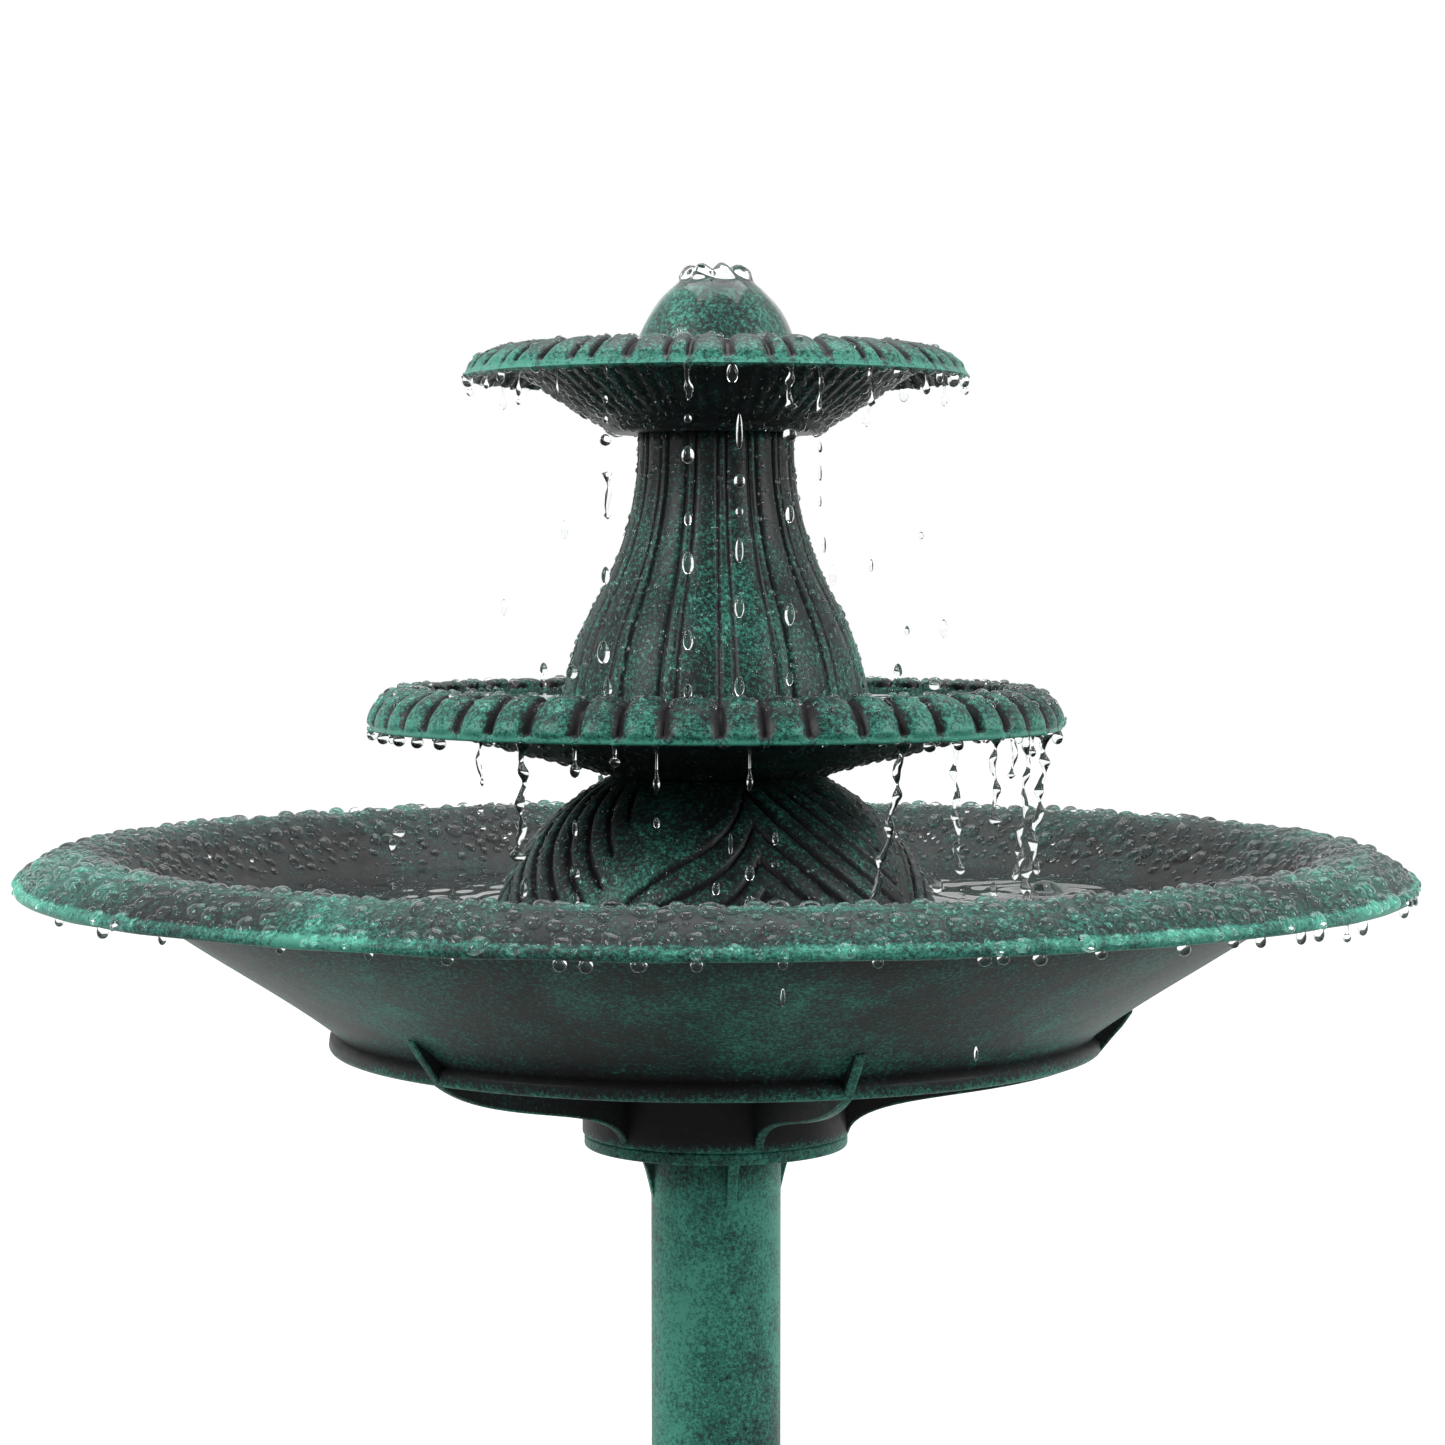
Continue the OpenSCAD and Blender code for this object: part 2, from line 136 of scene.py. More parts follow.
def new_object(name, verts, faces, material, body, tone=None):
    """A smooth-shaded piece on a body, with its tone for verdigris() as an attribute."""
    mesh = bpy.data.meshes.new(name)
    mesh.from_pydata(np.asarray(verts) * MM, [], faces)
    mesh.update()
    mesh.shade_smooth()
    if tone is not None:
        values = np.asarray(tone, np.float32).ravel()
        mesh.attributes.new("tone", "FLOAT", "POINT").data.foreach_set("value", values)
    obj = bpy.data.objects.new(name, mesh)
    bpy.context.scene.collection.objects.link(obj)
    mesh.materials.append(material)
    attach(obj, body)
    return obj


SHARP_ANGLE = math.radians(48)


def lathe(name, line, seg, material, body, relief=None):
    """A closed outline of (radius, height), listed anticlockwise, swept round Z. An outline that starts
    on the axis also ends on it, and is closed there by a point at each end.
    relief(r, z, t, s) gives how far each point moves outwards, and its tone; t is the azimuth in degrees
    from -Y towards +X, and s is the distance along the outline."""
    line = np.asarray(line, float)
    poles = line[[0, -1]] if line[0][0] == 0 else []
    if len(poles):
        line = line[1:-1]
    elif np.linalg.norm(line[0] - line[-1]) < 0.05:
        line = line[:-1]
    n = len(line)
    d = np.roll(line, -1, 0) - np.roll(line, 1, 0)
    outward = np.stack([d[:, 1], -d[:, 0]], 1) / np.maximum(np.linalg.norm(d, axis=1), 1e-9)[:, None]
    s = np.concatenate([[0], np.cumsum(np.linalg.norm(np.diff(line, axis=0), axis=1))])
    t = np.linspace(-180, 180, seg, endpoint=False)
    r, z = line[:, :1] + 0 * t, line[:, 1:] + 0 * t
    h, tone = relief(r, z, t + 0 * r, s[:, None] + 0 * t) if relief else (0 * r, 0 * r)
    r = r + outward[:, :1] * h
    z = z + outward[:, 1:] * h
    a = np.radians(t)
    verts = np.stack([r * np.sin(a), -r * np.cos(a), z], 2).reshape(-1, 3)
    i, j = np.meshgrid(np.arange(n - 1 if len(poles) else n), np.arange(seg), indexing="ij")
    ii, jj = (i + 1) % n, (j + 1) % seg
    faces = np.stack([i * seg + j, i * seg + jj, ii * seg + jj, ii * seg + j], 2).reshape(-1, 4).tolist()
    for k, pole in enumerate(poles):
        row = k * (n - 1) * seg
        verts = np.vstack([verts, [0, 0, pole[1] + h[-k].mean()]])
        tone = np.append(tone, tone[-k].mean() if tone.ndim > 1 else 0)
        for c in range(seg):
            pair = (row + c, row + (c + 1) % seg)
            faces.append([*(pair[::-1] if k == 0 else pair), len(verts) - 1])
    obj = new_object(name, verts, faces, material, body, tone)
    obj.data.set_sharp_from_angle(angle=SHARP_ANGLE)
    return obj


def plate(name, outline, thick, azimuths, side, edge, body, round_off):
    """Flat ribs standing in planes through the axis, one for each azimuth. Their rounded edges have a
    material of their own."""
    bm = bmesh.new()
    for az in azimuths:
        a = math.radians(az)
        across = Vector((math.cos(a), math.sin(a), 0))
        ring = []
        for off in (-thick / 2, thick / 2):
            corners = [Vector((r * math.sin(a), -r * math.cos(a), z)) + across * off for r, z in outline]
            ring.append([bm.verts.new(corner * MM) for corner in corners])
        n = len(outline)
        bm.faces.new(ring[0][::-1])
        bm.faces.new(ring[1])
        for k in range(n):
            face = bm.faces.new((ring[0][k], ring[0][(k + 1) % n], ring[1][(k + 1) % n], ring[1][k]))
            face.material_index = 1
    bmesh.ops.recalc_face_normals(bm, faces=bm.faces)
    mesh = bpy.data.meshes.new(name)
    bm.to_mesh(mesh)
    bm.free()
    mesh.shade_smooth()
    obj = bpy.data.objects.new(name, mesh)
    bpy.context.scene.collection.objects.link(obj)
    mesh.materials.append(side)
    mesh.materials.append(edge)
    mod = obj.modifiers.new("rounded", "BEVEL")
    mod.width = round_off * MM
    mod.segments = 3
    mod.limit_method = "ANGLE"
    mod.angle_limit = math.radians(40)
    mod.harden_normals = True
    mod.material = 1
    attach(obj, body)
    return obj


# ---- materials ----


def node_material(name):
    """A new material with a Principled shader, and what it takes to add nodes to it."""
    material = bpy.data.materials.new(name)
    material.use_nodes = True
    nodes = material.node_tree.nodes
    nodes.clear()
    out = nodes.new("ShaderNodeOutputMaterial")
    shader = nodes.new("ShaderNodeBsdfPrincipled")
    material.node_tree.links.new(shader.outputs[0], out.inputs[0])
    coords = nodes.new("ShaderNodeTexCoord").outputs["Object"]
    return material, nodes, material.node_tree.links, shader, coords


def noise(nodes, links, coords, scale, detail=2.0, rough=0.5, distortion=0.0):
    n = nodes.new("ShaderNodeTexNoise")
    n.inputs["Scale"].default_value = scale
    n.inputs["Detail"].default_value = detail
    n.inputs["Roughness"].default_value = rough
    n.inputs["Distortion"].default_value = distortion
    links.new(coords, n.inputs["Vector"])
    return n.outputs["Fac"]


def calc(nodes, links, op, a, b, c=None):
    """A maths node over sockets or plain numbers."""
    n = nodes.new("ShaderNodeMath")
    n.operation = op
    for k, v in enumerate((a, b, c)):
        if v is None:
            continue
        if isinstance(v, (int, float)):
            n.inputs[k].default_value = v
        else:
            links.new(v, n.inputs[k])
    return n.outputs[0]


def bumped(nodes, links, shader, height, strength, distance):
    """Bump a shader's surface by a height times a distance in metres."""
    n = nodes.new("ShaderNodeBump")
    n.inputs["Strength"].default_value = strength
    n.inputs["Distance"].default_value = distance
    links.new(height, n.inputs["Height"])
    links.new(n.outputs["Normal"], shader.inputs["Normal"])


def ramp(nodes, links, fac, stops):
    n = nodes.new("ShaderNodeValToRGB")
    while len(n.color_ramp.elements) < len(stops):
        n.color_ramp.elements.new(0.5)
    for e, (pos, colour) in zip(n.color_ramp.elements, stops):
        e.position = pos
        e.color = (*colour, 1)
    links.new(fac, n.inputs["Fac"])
    return n.outputs["Color"]


CHARCOAL = (0.010, 0.0085, 0.0105)
DARK = (0.010, 0.027, 0.024)
GREEN = (0.018, 0.098, 0.078)
BRIGHT = (0.032, 0.200, 0.150)
MINT = (0.07, 0.34, 0.25)


def map_range(nodes, links, value, *ends):
    """Take a value from one range to another: from min, from max, to min, to max."""
    n = nodes.new("ShaderNodeMapRange")
    for socket, end in zip(("From Min", "From Max", "To Min", "To Max"), ends):
        n.inputs[socket].default_value = end
    links.new(value, n.inputs["Value"])
    return n


def split_by_ray(nodes, links, ray, otherwise, seen):
    """Show one shader to a kind of ray, and another to all the rest."""
    mix = nodes.new("ShaderNodeMixShader")
    links.new(nodes.new("ShaderNodeLightPath").outputs[ray], mix.inputs["Fac"])
    links.new(otherwise.outputs[0], mix.inputs[1])
    links.new(seen.outputs[0], mix.inputs[2])
    links.new(mix.outputs[0], next(n for n in nodes if n.type == "OUTPUT_MATERIAL").inputs[0])


def verdigris(name, level, cloud=1.0, rough=0.42, speckle=1.5):
    """Mottled green resin: clouds of charcoal and green under a fine speckle, mint where the tone
    attribute is high and charcoal where it is low."""
    material, nodes, links, shader, coords = node_material(name)
    tone = nodes.new("ShaderNodeAttribute")
    tone.attribute_name = "tone"
    big = noise(nodes, links, coords, 14, 3, 0.55, 0.6)
    mid = noise(nodes, links, coords, 75, 4, 0.6, 0.3)
    grain = noise(nodes, links, coords, 620, 3, 0.6)
    fine = noise(nodes, links, coords, 1500, 2, 0.6)

    def part(value, gain):
        return calc(nodes, links, "MULTIPLY_ADD", value, gain, -0.5 * gain)

    total = calc(nodes, links, "ADD", part(big, 1.1 * cloud), part(mid, 0.8 * cloud))
    total = calc(nodes, links, "ADD", total, part(grain, speckle))
    total = calc(nodes, links, "ADD", total, part(fine, 0.8 * speckle))
    total = calc(nodes, links, "MULTIPLY_ADD", tone.outputs["Fac"], 0.55, total)
    total = calc(nodes, links, "ADD", total, 0.40 + level)
    stops = [(0.0, CHARCOAL), (0.28, DARK), (0.52, GREEN), (0.76, BRIGHT), (1.0, MINT)]
    colour = ramp(nodes, links, total, stops)
    links.new(colour, shader.inputs["Base Color"])
    gloss = calc(nodes, links, "MULTIPLY_ADD", mid, 0.25, rough - 0.12)
    gloss = calc(nodes, links, "MULTIPLY_ADD", grain, 0.18, gloss)
    links.new(gloss, shader.inputs["Roughness"])
    shader.inputs["Specular IOR Level"].default_value = 0.32
    shader.inputs["Coat Weight"].default_value = 0.06
    shader.inputs["Coat Roughness"].default_value = 0.2
    height = calc(nodes, links, "MULTIPLY", mid, 1.2)
    height = calc(nodes, links, "MULTIPLY_ADD", grain, 0.6, height)
    bumped(nodes, links, shader, height, 0.5, 0.0007)
    return material


def moulded(name, colour, spread=0.25, rough=0.4, scale=500, depth=0.0002, metallic=0.0):
    """Plain moulded or turned stuff: a little colour drift, with a fine grain in its gloss and bump."""
    material, nodes, links, shader, coords = node_material(name)
    soft = noise(nodes, links, coords, 60, 3)
    grain = noise(nodes, links, coords, scale, 3, 0.6)
    darker = tuple(c * (1 - spread) for c in colour)
    lighter = tuple(min(1, c * (1 + spread)) for c in colour)
    mix = calc(nodes, links, "MULTIPLY_ADD", grain, 0.4, calc(nodes, links, "MULTIPLY", soft, 0.6))
    links.new(ramp(nodes, links, mix, [(0.3, darker), (0.7, lighter)]), shader.inputs["Base Color"])
    links.new(calc(nodes, links, "MULTIPLY_ADD", grain, 0.2, rough - 0.1), shader.inputs["Roughness"])
    shader.inputs["Metallic"].default_value = metallic
    bumped(nodes, links, shader, grain, 0.4, depth)
    return material


def clear(name, tint, ior, rough, ripple=0.0):
    """Water or clear vinyl. Lamps pass straight through it, so that what is under it is lit."""
    material, nodes, links, shader, coords = node_material(name)
    shader.inputs["Base Color"].default_value = (*tint, 1)
    shader.inputs["Transmission Weight"].default_value = 1.0
    shader.inputs["IOR"].default_value = ior
    shader.inputs["Roughness"].default_value = rough
    if ripple:
        bumped(nodes, links, shader, noise(nodes, links, coords, 120, 2), 0.3, ripple)
    see = nodes.new("ShaderNodeBsdfTransparent")
    see.inputs["Color"].default_value = (*[c**0.5 for c in tint], 1)
    split_by_ray(nodes, links, "Is Shadow Ray", shader, see)
    return material


GREEN_MAT = verdigris("verdigris_bowls", level=0.1, speckle=2.2)
GREEN_BASIN = verdigris("verdigris_basin", level=0.02, rough=0.5, speckle=1.7)
GREEN_COLUMN = verdigris("verdigris_column", level=0.36, cloud=1.2, rough=0.5)
GREEN_EDGE = verdigris("verdigris_rib_edges", level=0.1, rough=0.5)
# A darker copy of the verdigris for the rib sides: painted shade.
GREEN_SIDE_SHADED = verdigris("verdigris_rib_sides_painted_shade", level=-0.4, rough=0.5)
# A brighter copy of the verdigris for the gussets' rounded edges: green wear on the edges and a painted
# highlight.
GREEN_WORN_AND_LIT = verdigris("verdigris_gusset_edges_wear_and_highlight", level=0.45, rough=0.45)
WATER = clear("water", (0.97, 1.0, 0.99), 1.33, 0.0)
FILM = clear("water_film", (0.97, 1.0, 0.99), 1.33, 0.12, ripple=0.0004)
BLACK = moulded("black_plastic", (0.018, 0.018, 0.02))
PUMP = moulded("pump_plastic", (0.022, 0.024, 0.027), rough=0.33, scale=900)
GREY = moulded("grey_plastic", (0.13, 0.14, 0.15), rough=0.35)
BLUE = moulded("blue_plastic", (0.05, 0.11, 0.19), rough=0.4)
RUBBER = moulded("black_rubber", (0.012, 0.012, 0.012), rough=0.7, scale=1200)
CERAMIC = moulded("white_ceramic", (0.75, 0.74, 0.7), spread=0.04, rough=0.18)
STEEL = moulded("stainless", (0.6, 0.6, 0.6), spread=0.08, rough=0.28, metallic=1.0)
VINYL = clear("clear_vinyl", (0.86, 0.95, 0.92), 1.5, 0.12)

for material, names in (
        (GREEN_COLUMN, ("base_foot", "lower_column", "column_ring", "upper_column")),
        (GREEN_BASIN, ("basin", "basin_socket")),
        (GREEN_MAT, ("leaf_dome", "middle_bowl", "fluted_column", "top_bowl", "spout_dome")),
        (STEEL, ("base_screws", "pump_strainer_screws")),
        (BLACK, ("column_sleeve", "basin_nut")),
        (RUBBER, ("basin_gasket", "cord_stopper", "middle_washer", "top_washer", "pump_suction_cups",
                  "pump_cord_gland", "pump_shaft_bushes")),
        (PUMP, ("pump_motor", "pump_volute", "pump_strainer")),
        (GREY, ("pump_outlet", "flow_dial")),
        (BLUE, ("impeller",)),
        (CERAMIC, ("pump_shaft",)),
        (VINYL, ("riser_tube",))):
    for node in names:
        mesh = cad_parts[node].data
        mesh.materials.clear()
        mesh.materials.append(material)


# ---- pedestal ----


COLUMN_R = 27.4
COLUMN_BORE_R = 24.6
STEM_R = 12
STEM_BORE_R = 9
STEM_TOP_Z = FLOOR_Z + 9.5
FLANGE_R = 55.6
FLANGE_EDGE = 1.2

pedestal_line = joined([
    [[COLUMN_R, SPLIT_Z], [COLUMN_R, FLANGE_Z]],
    arc((FLANGE_R - FLANGE_EDGE, FLANGE_Z + FLANGE_EDGE), FLANGE_EDGE, -90, 0, 5),
    arc((FLANGE_R - FLANGE_EDGE, HUB_Z - FLANGE_EDGE), FLANGE_EDGE, 0, 90, 5),
    [[STEM_R, HUB_Z], [STEM_R, STEM_TOP_Z], [STEM_BORE_R, STEM_TOP_Z], [STEM_BORE_R, FLANGE_Z + 1.5],
     [COLUMN_BORE_R, FLANGE_Z - 2], [COLUMN_BORE_R, SPLIT_Z], [COLUMN_R, SPLIT_Z]]], 8)


def pedestal_relief(r, z, t, s):
    # Painted shade on the column just under the flange.
    shade = bump(z - FLANGE_Z + 3, 9) * (r < COLUMN_R + 0.6)
    return 0 * r, 0.25 * waves(r, z, t, 5, 90) - 0.7 * shade


upper_column = lathe("pedestal_upper", pedestal_line, 160, GREEN_COLUMN, "stand", pedestal_relief)
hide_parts("upper_column")

GUSSET_THICK = 4.5
GUSSET_DEPTH = 25
GUSSET_AZIMUTHS = [13.6 + 90 * k for k in range(4)]
ROUND_OFF = 0.9
gusset_line = np.vstack([
    [[COLUMN_R - 2, FLANGE_Z + 1], [COLUMN_R + 7.6, FLANGE_Z + 1]],
    bezier((COLUMN_R + 7.4, FLANGE_Z), (COLUMN_R + 3, FLANGE_Z - 7), (COLUMN_R + 1.6, FLANGE_Z - 16),
           (COLUMN_R - 0.6, FLANGE_Z - GUSSET_DEPTH), 10),
    [[COLUMN_R - 2, FLANGE_Z - GUSSET_DEPTH]]])
# The gussets' rounded edges take the brighter copy of the verdigris, green wear and a painted highlight;
# their sides take the plainer green.
gussets = plate("pedestal_gussets", gusset_line, GUSSET_THICK, GUSSET_AZIMUTHS, GREEN_EDGE, GREEN_WORN_AND_LIT,
                "stand", ROUND_OFF)

# ---- basin ----

BASIN_R = widest("basin")
RIM_Z = FLOOR_Z + 77.8
CREST_R = BASIN_R - 26
UNDER_Z = FLOOR_Z - 3.5
HOLE_R = 12.4
HUB_R = 56.4
COLLAR_R = 162.4
# The rim rolls over the top of a sloping inner wall, and falls from there to its lip
SLOPE = math.degrees(math.atan(0.8))
ROLL_R = 24
ROLL = (CREST_R, RIM_Z - ROLL_R)
LIP_R = 31.1
LIP = (CREST_R, RIM_Z - LIP_R)
BASIN_WALL = 3.5
LIP_EDGE_R = 2.4
WALL_FOOT = (160.2, FLOOR_Z + 6.9)
WALL_HEAD = (ROLL[0] - ROLL_R * math.sin(math.radians(SLOPE)),
             ROLL[1] + ROLL_R * math.cos(math.radians(SLOPE)))


def basin_step(p):
    if p[0] > 225:
        return 2.0
    return 3.0 if p[0] > COLLAR_R - 4 else 9.0


basin_line = joined([
    [[HOLE_R, UNDER_Z], [COLLAR_R - 5, UNDER_Z], [COLLAR_R - 5, UNDER_Z - 2.6]],
    arc((COLLAR_R - 2.4, UNDER_Z - 0.2), 2.4, -90, 0, 6),
    [[COLLAR_R - 0.4, FLOOR_Z - 0.2], [COLLAR_R - 2.6, FLOOR_Z + 1.6], [COLLAR_R - 2.0, FLOOR_Z + 2.6]],
    bezier((COLLAR_R, FLOOR_Z + 4.4), (COLLAR_R + 30, FLOOR_Z + 27.5), (CREST_R - 32, RIM_Z - 31),
           (CREST_R - 14.5, RIM_Z - 11.5), 30),
    arc(ROLL, ROLL_R - BASIN_WALL, 90 + SLOPE, 92, 10),
    arc(LIP, LIP_R - BASIN_WALL, 88, 40, 16),
    [[BASIN_R - 4.6, RIM_Z - 15.6]],
    arc((BASIN_R - LIP_EDGE_R, RIM_Z - 13.9), LIP_EDGE_R, -110, 34, 12),
    arc(LIP, LIP_R, 40, 84, 18),
    arc(ROLL, ROLL_R, 90, 90 + SLOPE, 14),
    [WALL_FOOT],
    arc((150, FLOOR_Z + 7), 7, -48, -90, 6),
    [[HOLE_R, FLOOR_Z], [HOLE_R, UNDER_Z]]], basin_step)


def basin_relief(r, z, t, s):
    inside = s > s.max() * 0.55
    outside = ~inside & (z > FLOOR_Z + 3)
    # Outlines of 16 long leaves, one outline in the other, sunk in the inner wall
    d = (t + 11.25) % 22.5 - 11.25
    vein = 0
    for tip, half in ((242, 10.9), (229, 7.6)):
        outline = tip - 62 * np.abs(d / half) ** 2.2
        vein = vein + bump(r - outline, 1.1) * (r > 172)
    vein = vein * inside
    h = -1.1 * vein + 0.35 * waves(r, z, t, 11, 55) * smooth(CREST_R - 20, CREST_R, r)

    lip = smooth(BASIN_R - 4.2, BASIN_R - 1.6, r) * (z < RIM_Z - 11) * (0.75 + 0.5 * waves(r, z, t, 37, 120))
    patch = smooth(0.1, 0.5, waves(r, z, t, 31, 70)) * smooth(BASIN_R - 15, BASIN_R - 6, r) * inside
    # A dark line in the concave corner at the top of the collar: painted shadow.
    crease_shadow = bump(z - (FLOOR_Z + 0.6), 2.6) * (r > 156) * ~inside
    tone = -0.9 * vein + 1.2 * lip + 0.9 * patch * (1 - 0.6 * lip) - 0.9 * crease_shadow
    # The flank drifts between green and charcoal, and darkens below the rim's overhang with painted shade
    band = 0.2 * smooth(RIM_Z - 34, RIM_Z - 20, z) * outside
    tone = tone + np.where(outside, 0.34 * waves(r, z, t, 41, 150) - 0.05 - band, 0)
    # The inside is dark up to the rim's crest
    tone = tone + np.where(inside, -0.6 + 0.8 * smooth(240, BASIN_R - 12, r), 0)
    # The collar's lower edge is worn green, and the floor inside it is a little darker
    tone = tone + 0.5 * bump(z - (UNDER_Z - 2.4), 1.6) * (r > COLLAR_R - 6)
    tone = tone - 0.1 * (r < COLLAR_R + 1) * ~inside
    return h, tone


basin = lathe("basin_shell", basin_line, 432, GREEN_BASIN, "stand", basin_relief)
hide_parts("basin")

# The ring on the floor that centres the leaf dome
RING_IN, RING_OUT = 86.8, 89.8
ring_line = joined([[
    [RING_IN, FLOOR_Z - 1], [RING_OUT, FLOOR_Z - 1], [RING_OUT, FLOOR_Z + 3.4], [RING_OUT - 0.6, FLOOR_Z + 4],
    [RING_IN + 0.6, FLOOR_Z + 4], [RING_IN, FLOOR_Z + 3.4], [RING_IN, FLOOR_Z - 1]]], 3)
ring = lathe("basin_dome_ring", ring_line, 144, GREEN_BASIN, "stand")

RIB_THICK = 4
RIB_AZIMUTHS = [18 + 60 * k for k in range(6)]
# Each rib runs from the hub, under the collar, to a tip that lies on the flank
rib_line = np.vstack([
    bezier((HUB_R + 0.2, HUB_Z + 1.5), (62, HUB_Z + 21), (130, HUB_Z + 16), (161, HUB_Z + 37.3), 22),
    [[COLLAR_R + 4.5, FLOOR_Z + 1.2], [COLLAR_R + 9, FLOOR_Z + 6.4], [COLLAR_R + 13, FLOOR_Z + 12.2],
     [COLLAR_R + 12.2, FLOOR_Z + 13.8], [161, FLOOR_Z + 5.4], [157, FLOOR_Z - 1.4],
     [HUB_R - 1.8, FLOOR_Z - 1.8], [HUB_R - 1.8, HUB_Z + 1.5]]])
# The rib sides take the darker copy of the verdigris, painted shade; their rounded edges keep the plain
# green.
ribs = plate("basin_ribs", rib_line, RIB_THICK, RIB_AZIMUTHS, GREEN_SIDE_SHADED, GREEN_EDGE, "stand", ROUND_OFF)

hub_line = joined([
    [[HUB_R - 3.5, HUB_Z], [HUB_R - 1, HUB_Z]],
    arc((HUB_R - 1.4, HUB_Z + 1.4), 1.4, -90, 0, 5),
    [[HUB_R, UNDER_Z - 2], [HUB_R + 2, UNDER_Z], [HUB_R - 5.5, UNDER_Z], [HUB_R - 3.5, UNDER_Z - 2],
     [HUB_R - 3.5, HUB_Z]]], 4)


def hub_relief(r, z, t, s):
    # The hub is lighter at its rounded lower edge, and darker upwards towards the basin's underside: painted
    # shade under the basin.
    return 0 * r, 0.5 * bump(z - HUB_Z, 1.5) - 1.1 * smooth(HUB_Z + 1, HUB_Z + 5, z)


hub = lathe("basin_hub", hub_line, 160, GREEN_BASIN, "stand", hub_relief)
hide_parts("basin_socket")

# ---- leaf dome ----

DOME_R = 98
DOME_WALL = 3.5
DOME_RISE = 20
DOME_C = (0, FLOOR_Z + DOME_RISE)
SPIGOT_R = 33
SPIGOT_BORE_R = 30
SPIGOT_Z = NECK_Z + 12
LEAF_PITCH = 90
LEAF_AZIMUTH = 13
VEIN_PITCH = 13.2


def on_dome(r, z):
    """Angle up from the dome's centre at which a sphere of radius r has height z."""
    return math.degrees(math.asin((z - DOME_C[1]) / r))


dome_line = joined([
    arc(DOME_C, DOME_R, on_dome(DOME_R, FLOOR_Z), on_dome(DOME_R, NECK_Z - 0.4), 120),
    [[SPIGOT_R + 0.4, NECK_Z - 0.2], [SPIGOT_R, NECK_Z + 0.2], [SPIGOT_R, SPIGOT_Z - 0.6],
     [SPIGOT_R - 1, SPIGOT_Z], [SPIGOT_BORE_R, SPIGOT_Z], [SPIGOT_BORE_R, NECK_Z - 3]],
    arc(DOME_C, DOME_R - DOME_WALL, on_dome(DOME_R - DOME_WALL, NECK_Z - 3),
        on_dome(DOME_R - DOME_WALL, FLOOR_Z), 24),
    arc(DOME_C, DOME_R, on_dome(DOME_R, FLOOR_Z), on_dome(DOME_R, FLOOR_Z), 1)], 6)


def dome_relief(r, z, t, s):
    out = (s < 170) & (r > 40)
    d = (t - LEAF_AZIMUTH + LEAF_PITCH / 2) % LEAF_PITCH - LEAF_PITCH / 2
    # How far a vein has come down when it is d degrees out from its leaf's midrib
    u = np.abs(d)
    left = 0.8 * u + 0.00122 * ((u - 20) ** 3 + 8000)
    q = (z + np.where(d > 0, 1.445 * u, left) - (FLOOR_Z + 78.5)) / VEIN_PITCH
    near = (q - np.round(q)) * VEIN_PITCH
    steep = np.where(d > 0, 1.3, 1.0)
    fade = smooth(NECK_Z - 1, NECK_Z - 7, z)
    # The left of each leaf is smooth above its three lowest veins
    fade = fade * (1 - smooth(2.4, 2.6, q) * (d < 0))
    vein = bump(near, steep) * fade
    swell = (1 - bump(near, 3.4)) * fade
    h = -1.8 * vein + 0.6 * swell
    tone = -1.8 * vein + 0.35 * waves(r, z, t, 51, 70) - 0.42
    return np.where(out, h, 0), np.where(out, tone, 0)


INLETS = 6
INLET_AZIMUTH = 30
INLET_R = 7
INLET_REACH = 16


def raise_inlets(mesh):
    """Lift the foot of the dome's shell into round arches, for the water to pass through. The shell is
    squeezed upwards up to INLET_REACH above its foot to make room, and stays on its sphere."""
    points = np.empty(len(mesh.vertices) * 3)
    mesh.vertices.foreach_get("co", points)
    x, y, z = points.reshape(-1, 3).T / MM
    r, t = np.hypot(x, y), np.degrees(np.arctan2(x, -y))
    pitch = 360 / INLETS
    across = r * np.sin(np.radians((t - INLET_AZIMUTH + pitch / 2) % pitch - pitch / 2))
    arch = np.sqrt(np.clip(INLET_R**2 - across**2, 0, None))
    up = z - FLOOR_Z
    new_z = np.where(up < INLET_REACH, FLOOR_Z + arch + up * (INLET_REACH - arch) / INLET_REACH, z)
    sphere = np.hypot(r, z - DOME_C[1])
    new_r = np.sqrt(np.clip(sphere**2 - (new_z - DOME_C[1]) ** 2, 0, None))
    new_r = np.where(up < INLET_REACH, new_r, r)
    a = np.radians(t)
    points = np.stack([new_r * np.sin(a), -new_r * np.cos(a), new_z], 1) * MM
    mesh.vertices.foreach_set("co", points.ravel())
    mesh.update()


dome = lathe("leaf_dome_shell", dome_line, 624, GREEN_MAT, "tower", dome_relief)
raise_inlets(dome.data)
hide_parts("leaf_dome")

# ---- bowls ----


def lobes(t, start, widths):
    """For each azimuth, how far across its lobe it is, from -1 to 1. A group of lobes of these widths, in
    degrees, repeats from the azimuth start."""
    x = (t - start) % sum(widths)
    u, at = np.zeros_like(x), 0
    for width in widths:
        u = np.where((x >= at) & (x < at + width), (x - at) / width * 2 - 1, u)
        at += width
    return u


def lobe_relief(u, a, foot, top, sink, rise):
    """Height and tone of the lobes of a rolled rim, where a is the angle round the roll from its outer edge.
    They run from the angle foot to round ends at the angle top, and rise from grooves sunk between them."""
    end = np.clip((top - a) / 16, 0, 1)
    half = np.sqrt(np.clip(1 - (1 - end) ** 2, 0.0001, 1))
    inside = np.sqrt(np.clip(1 - (np.abs(u) / (0.9 * half)) ** 2.2, 0, 1))
    env = smooth(foot, foot + 9, a) * (a < top)
    h = (inside * (sink + rise) - sink) * env
    crown = smooth(0.25, 0.85, inside)
    tone = (1.5 * crown - 1.9) * env + 0.3
    tone = tone + 0.6 * smooth(foot + 34, foot + 6, a) * crown - 0.3 * smooth(55, 95, a)
    return h, tone


# Bore for the riser tube, in both bowls
TUBE_BORE_R = 6.6

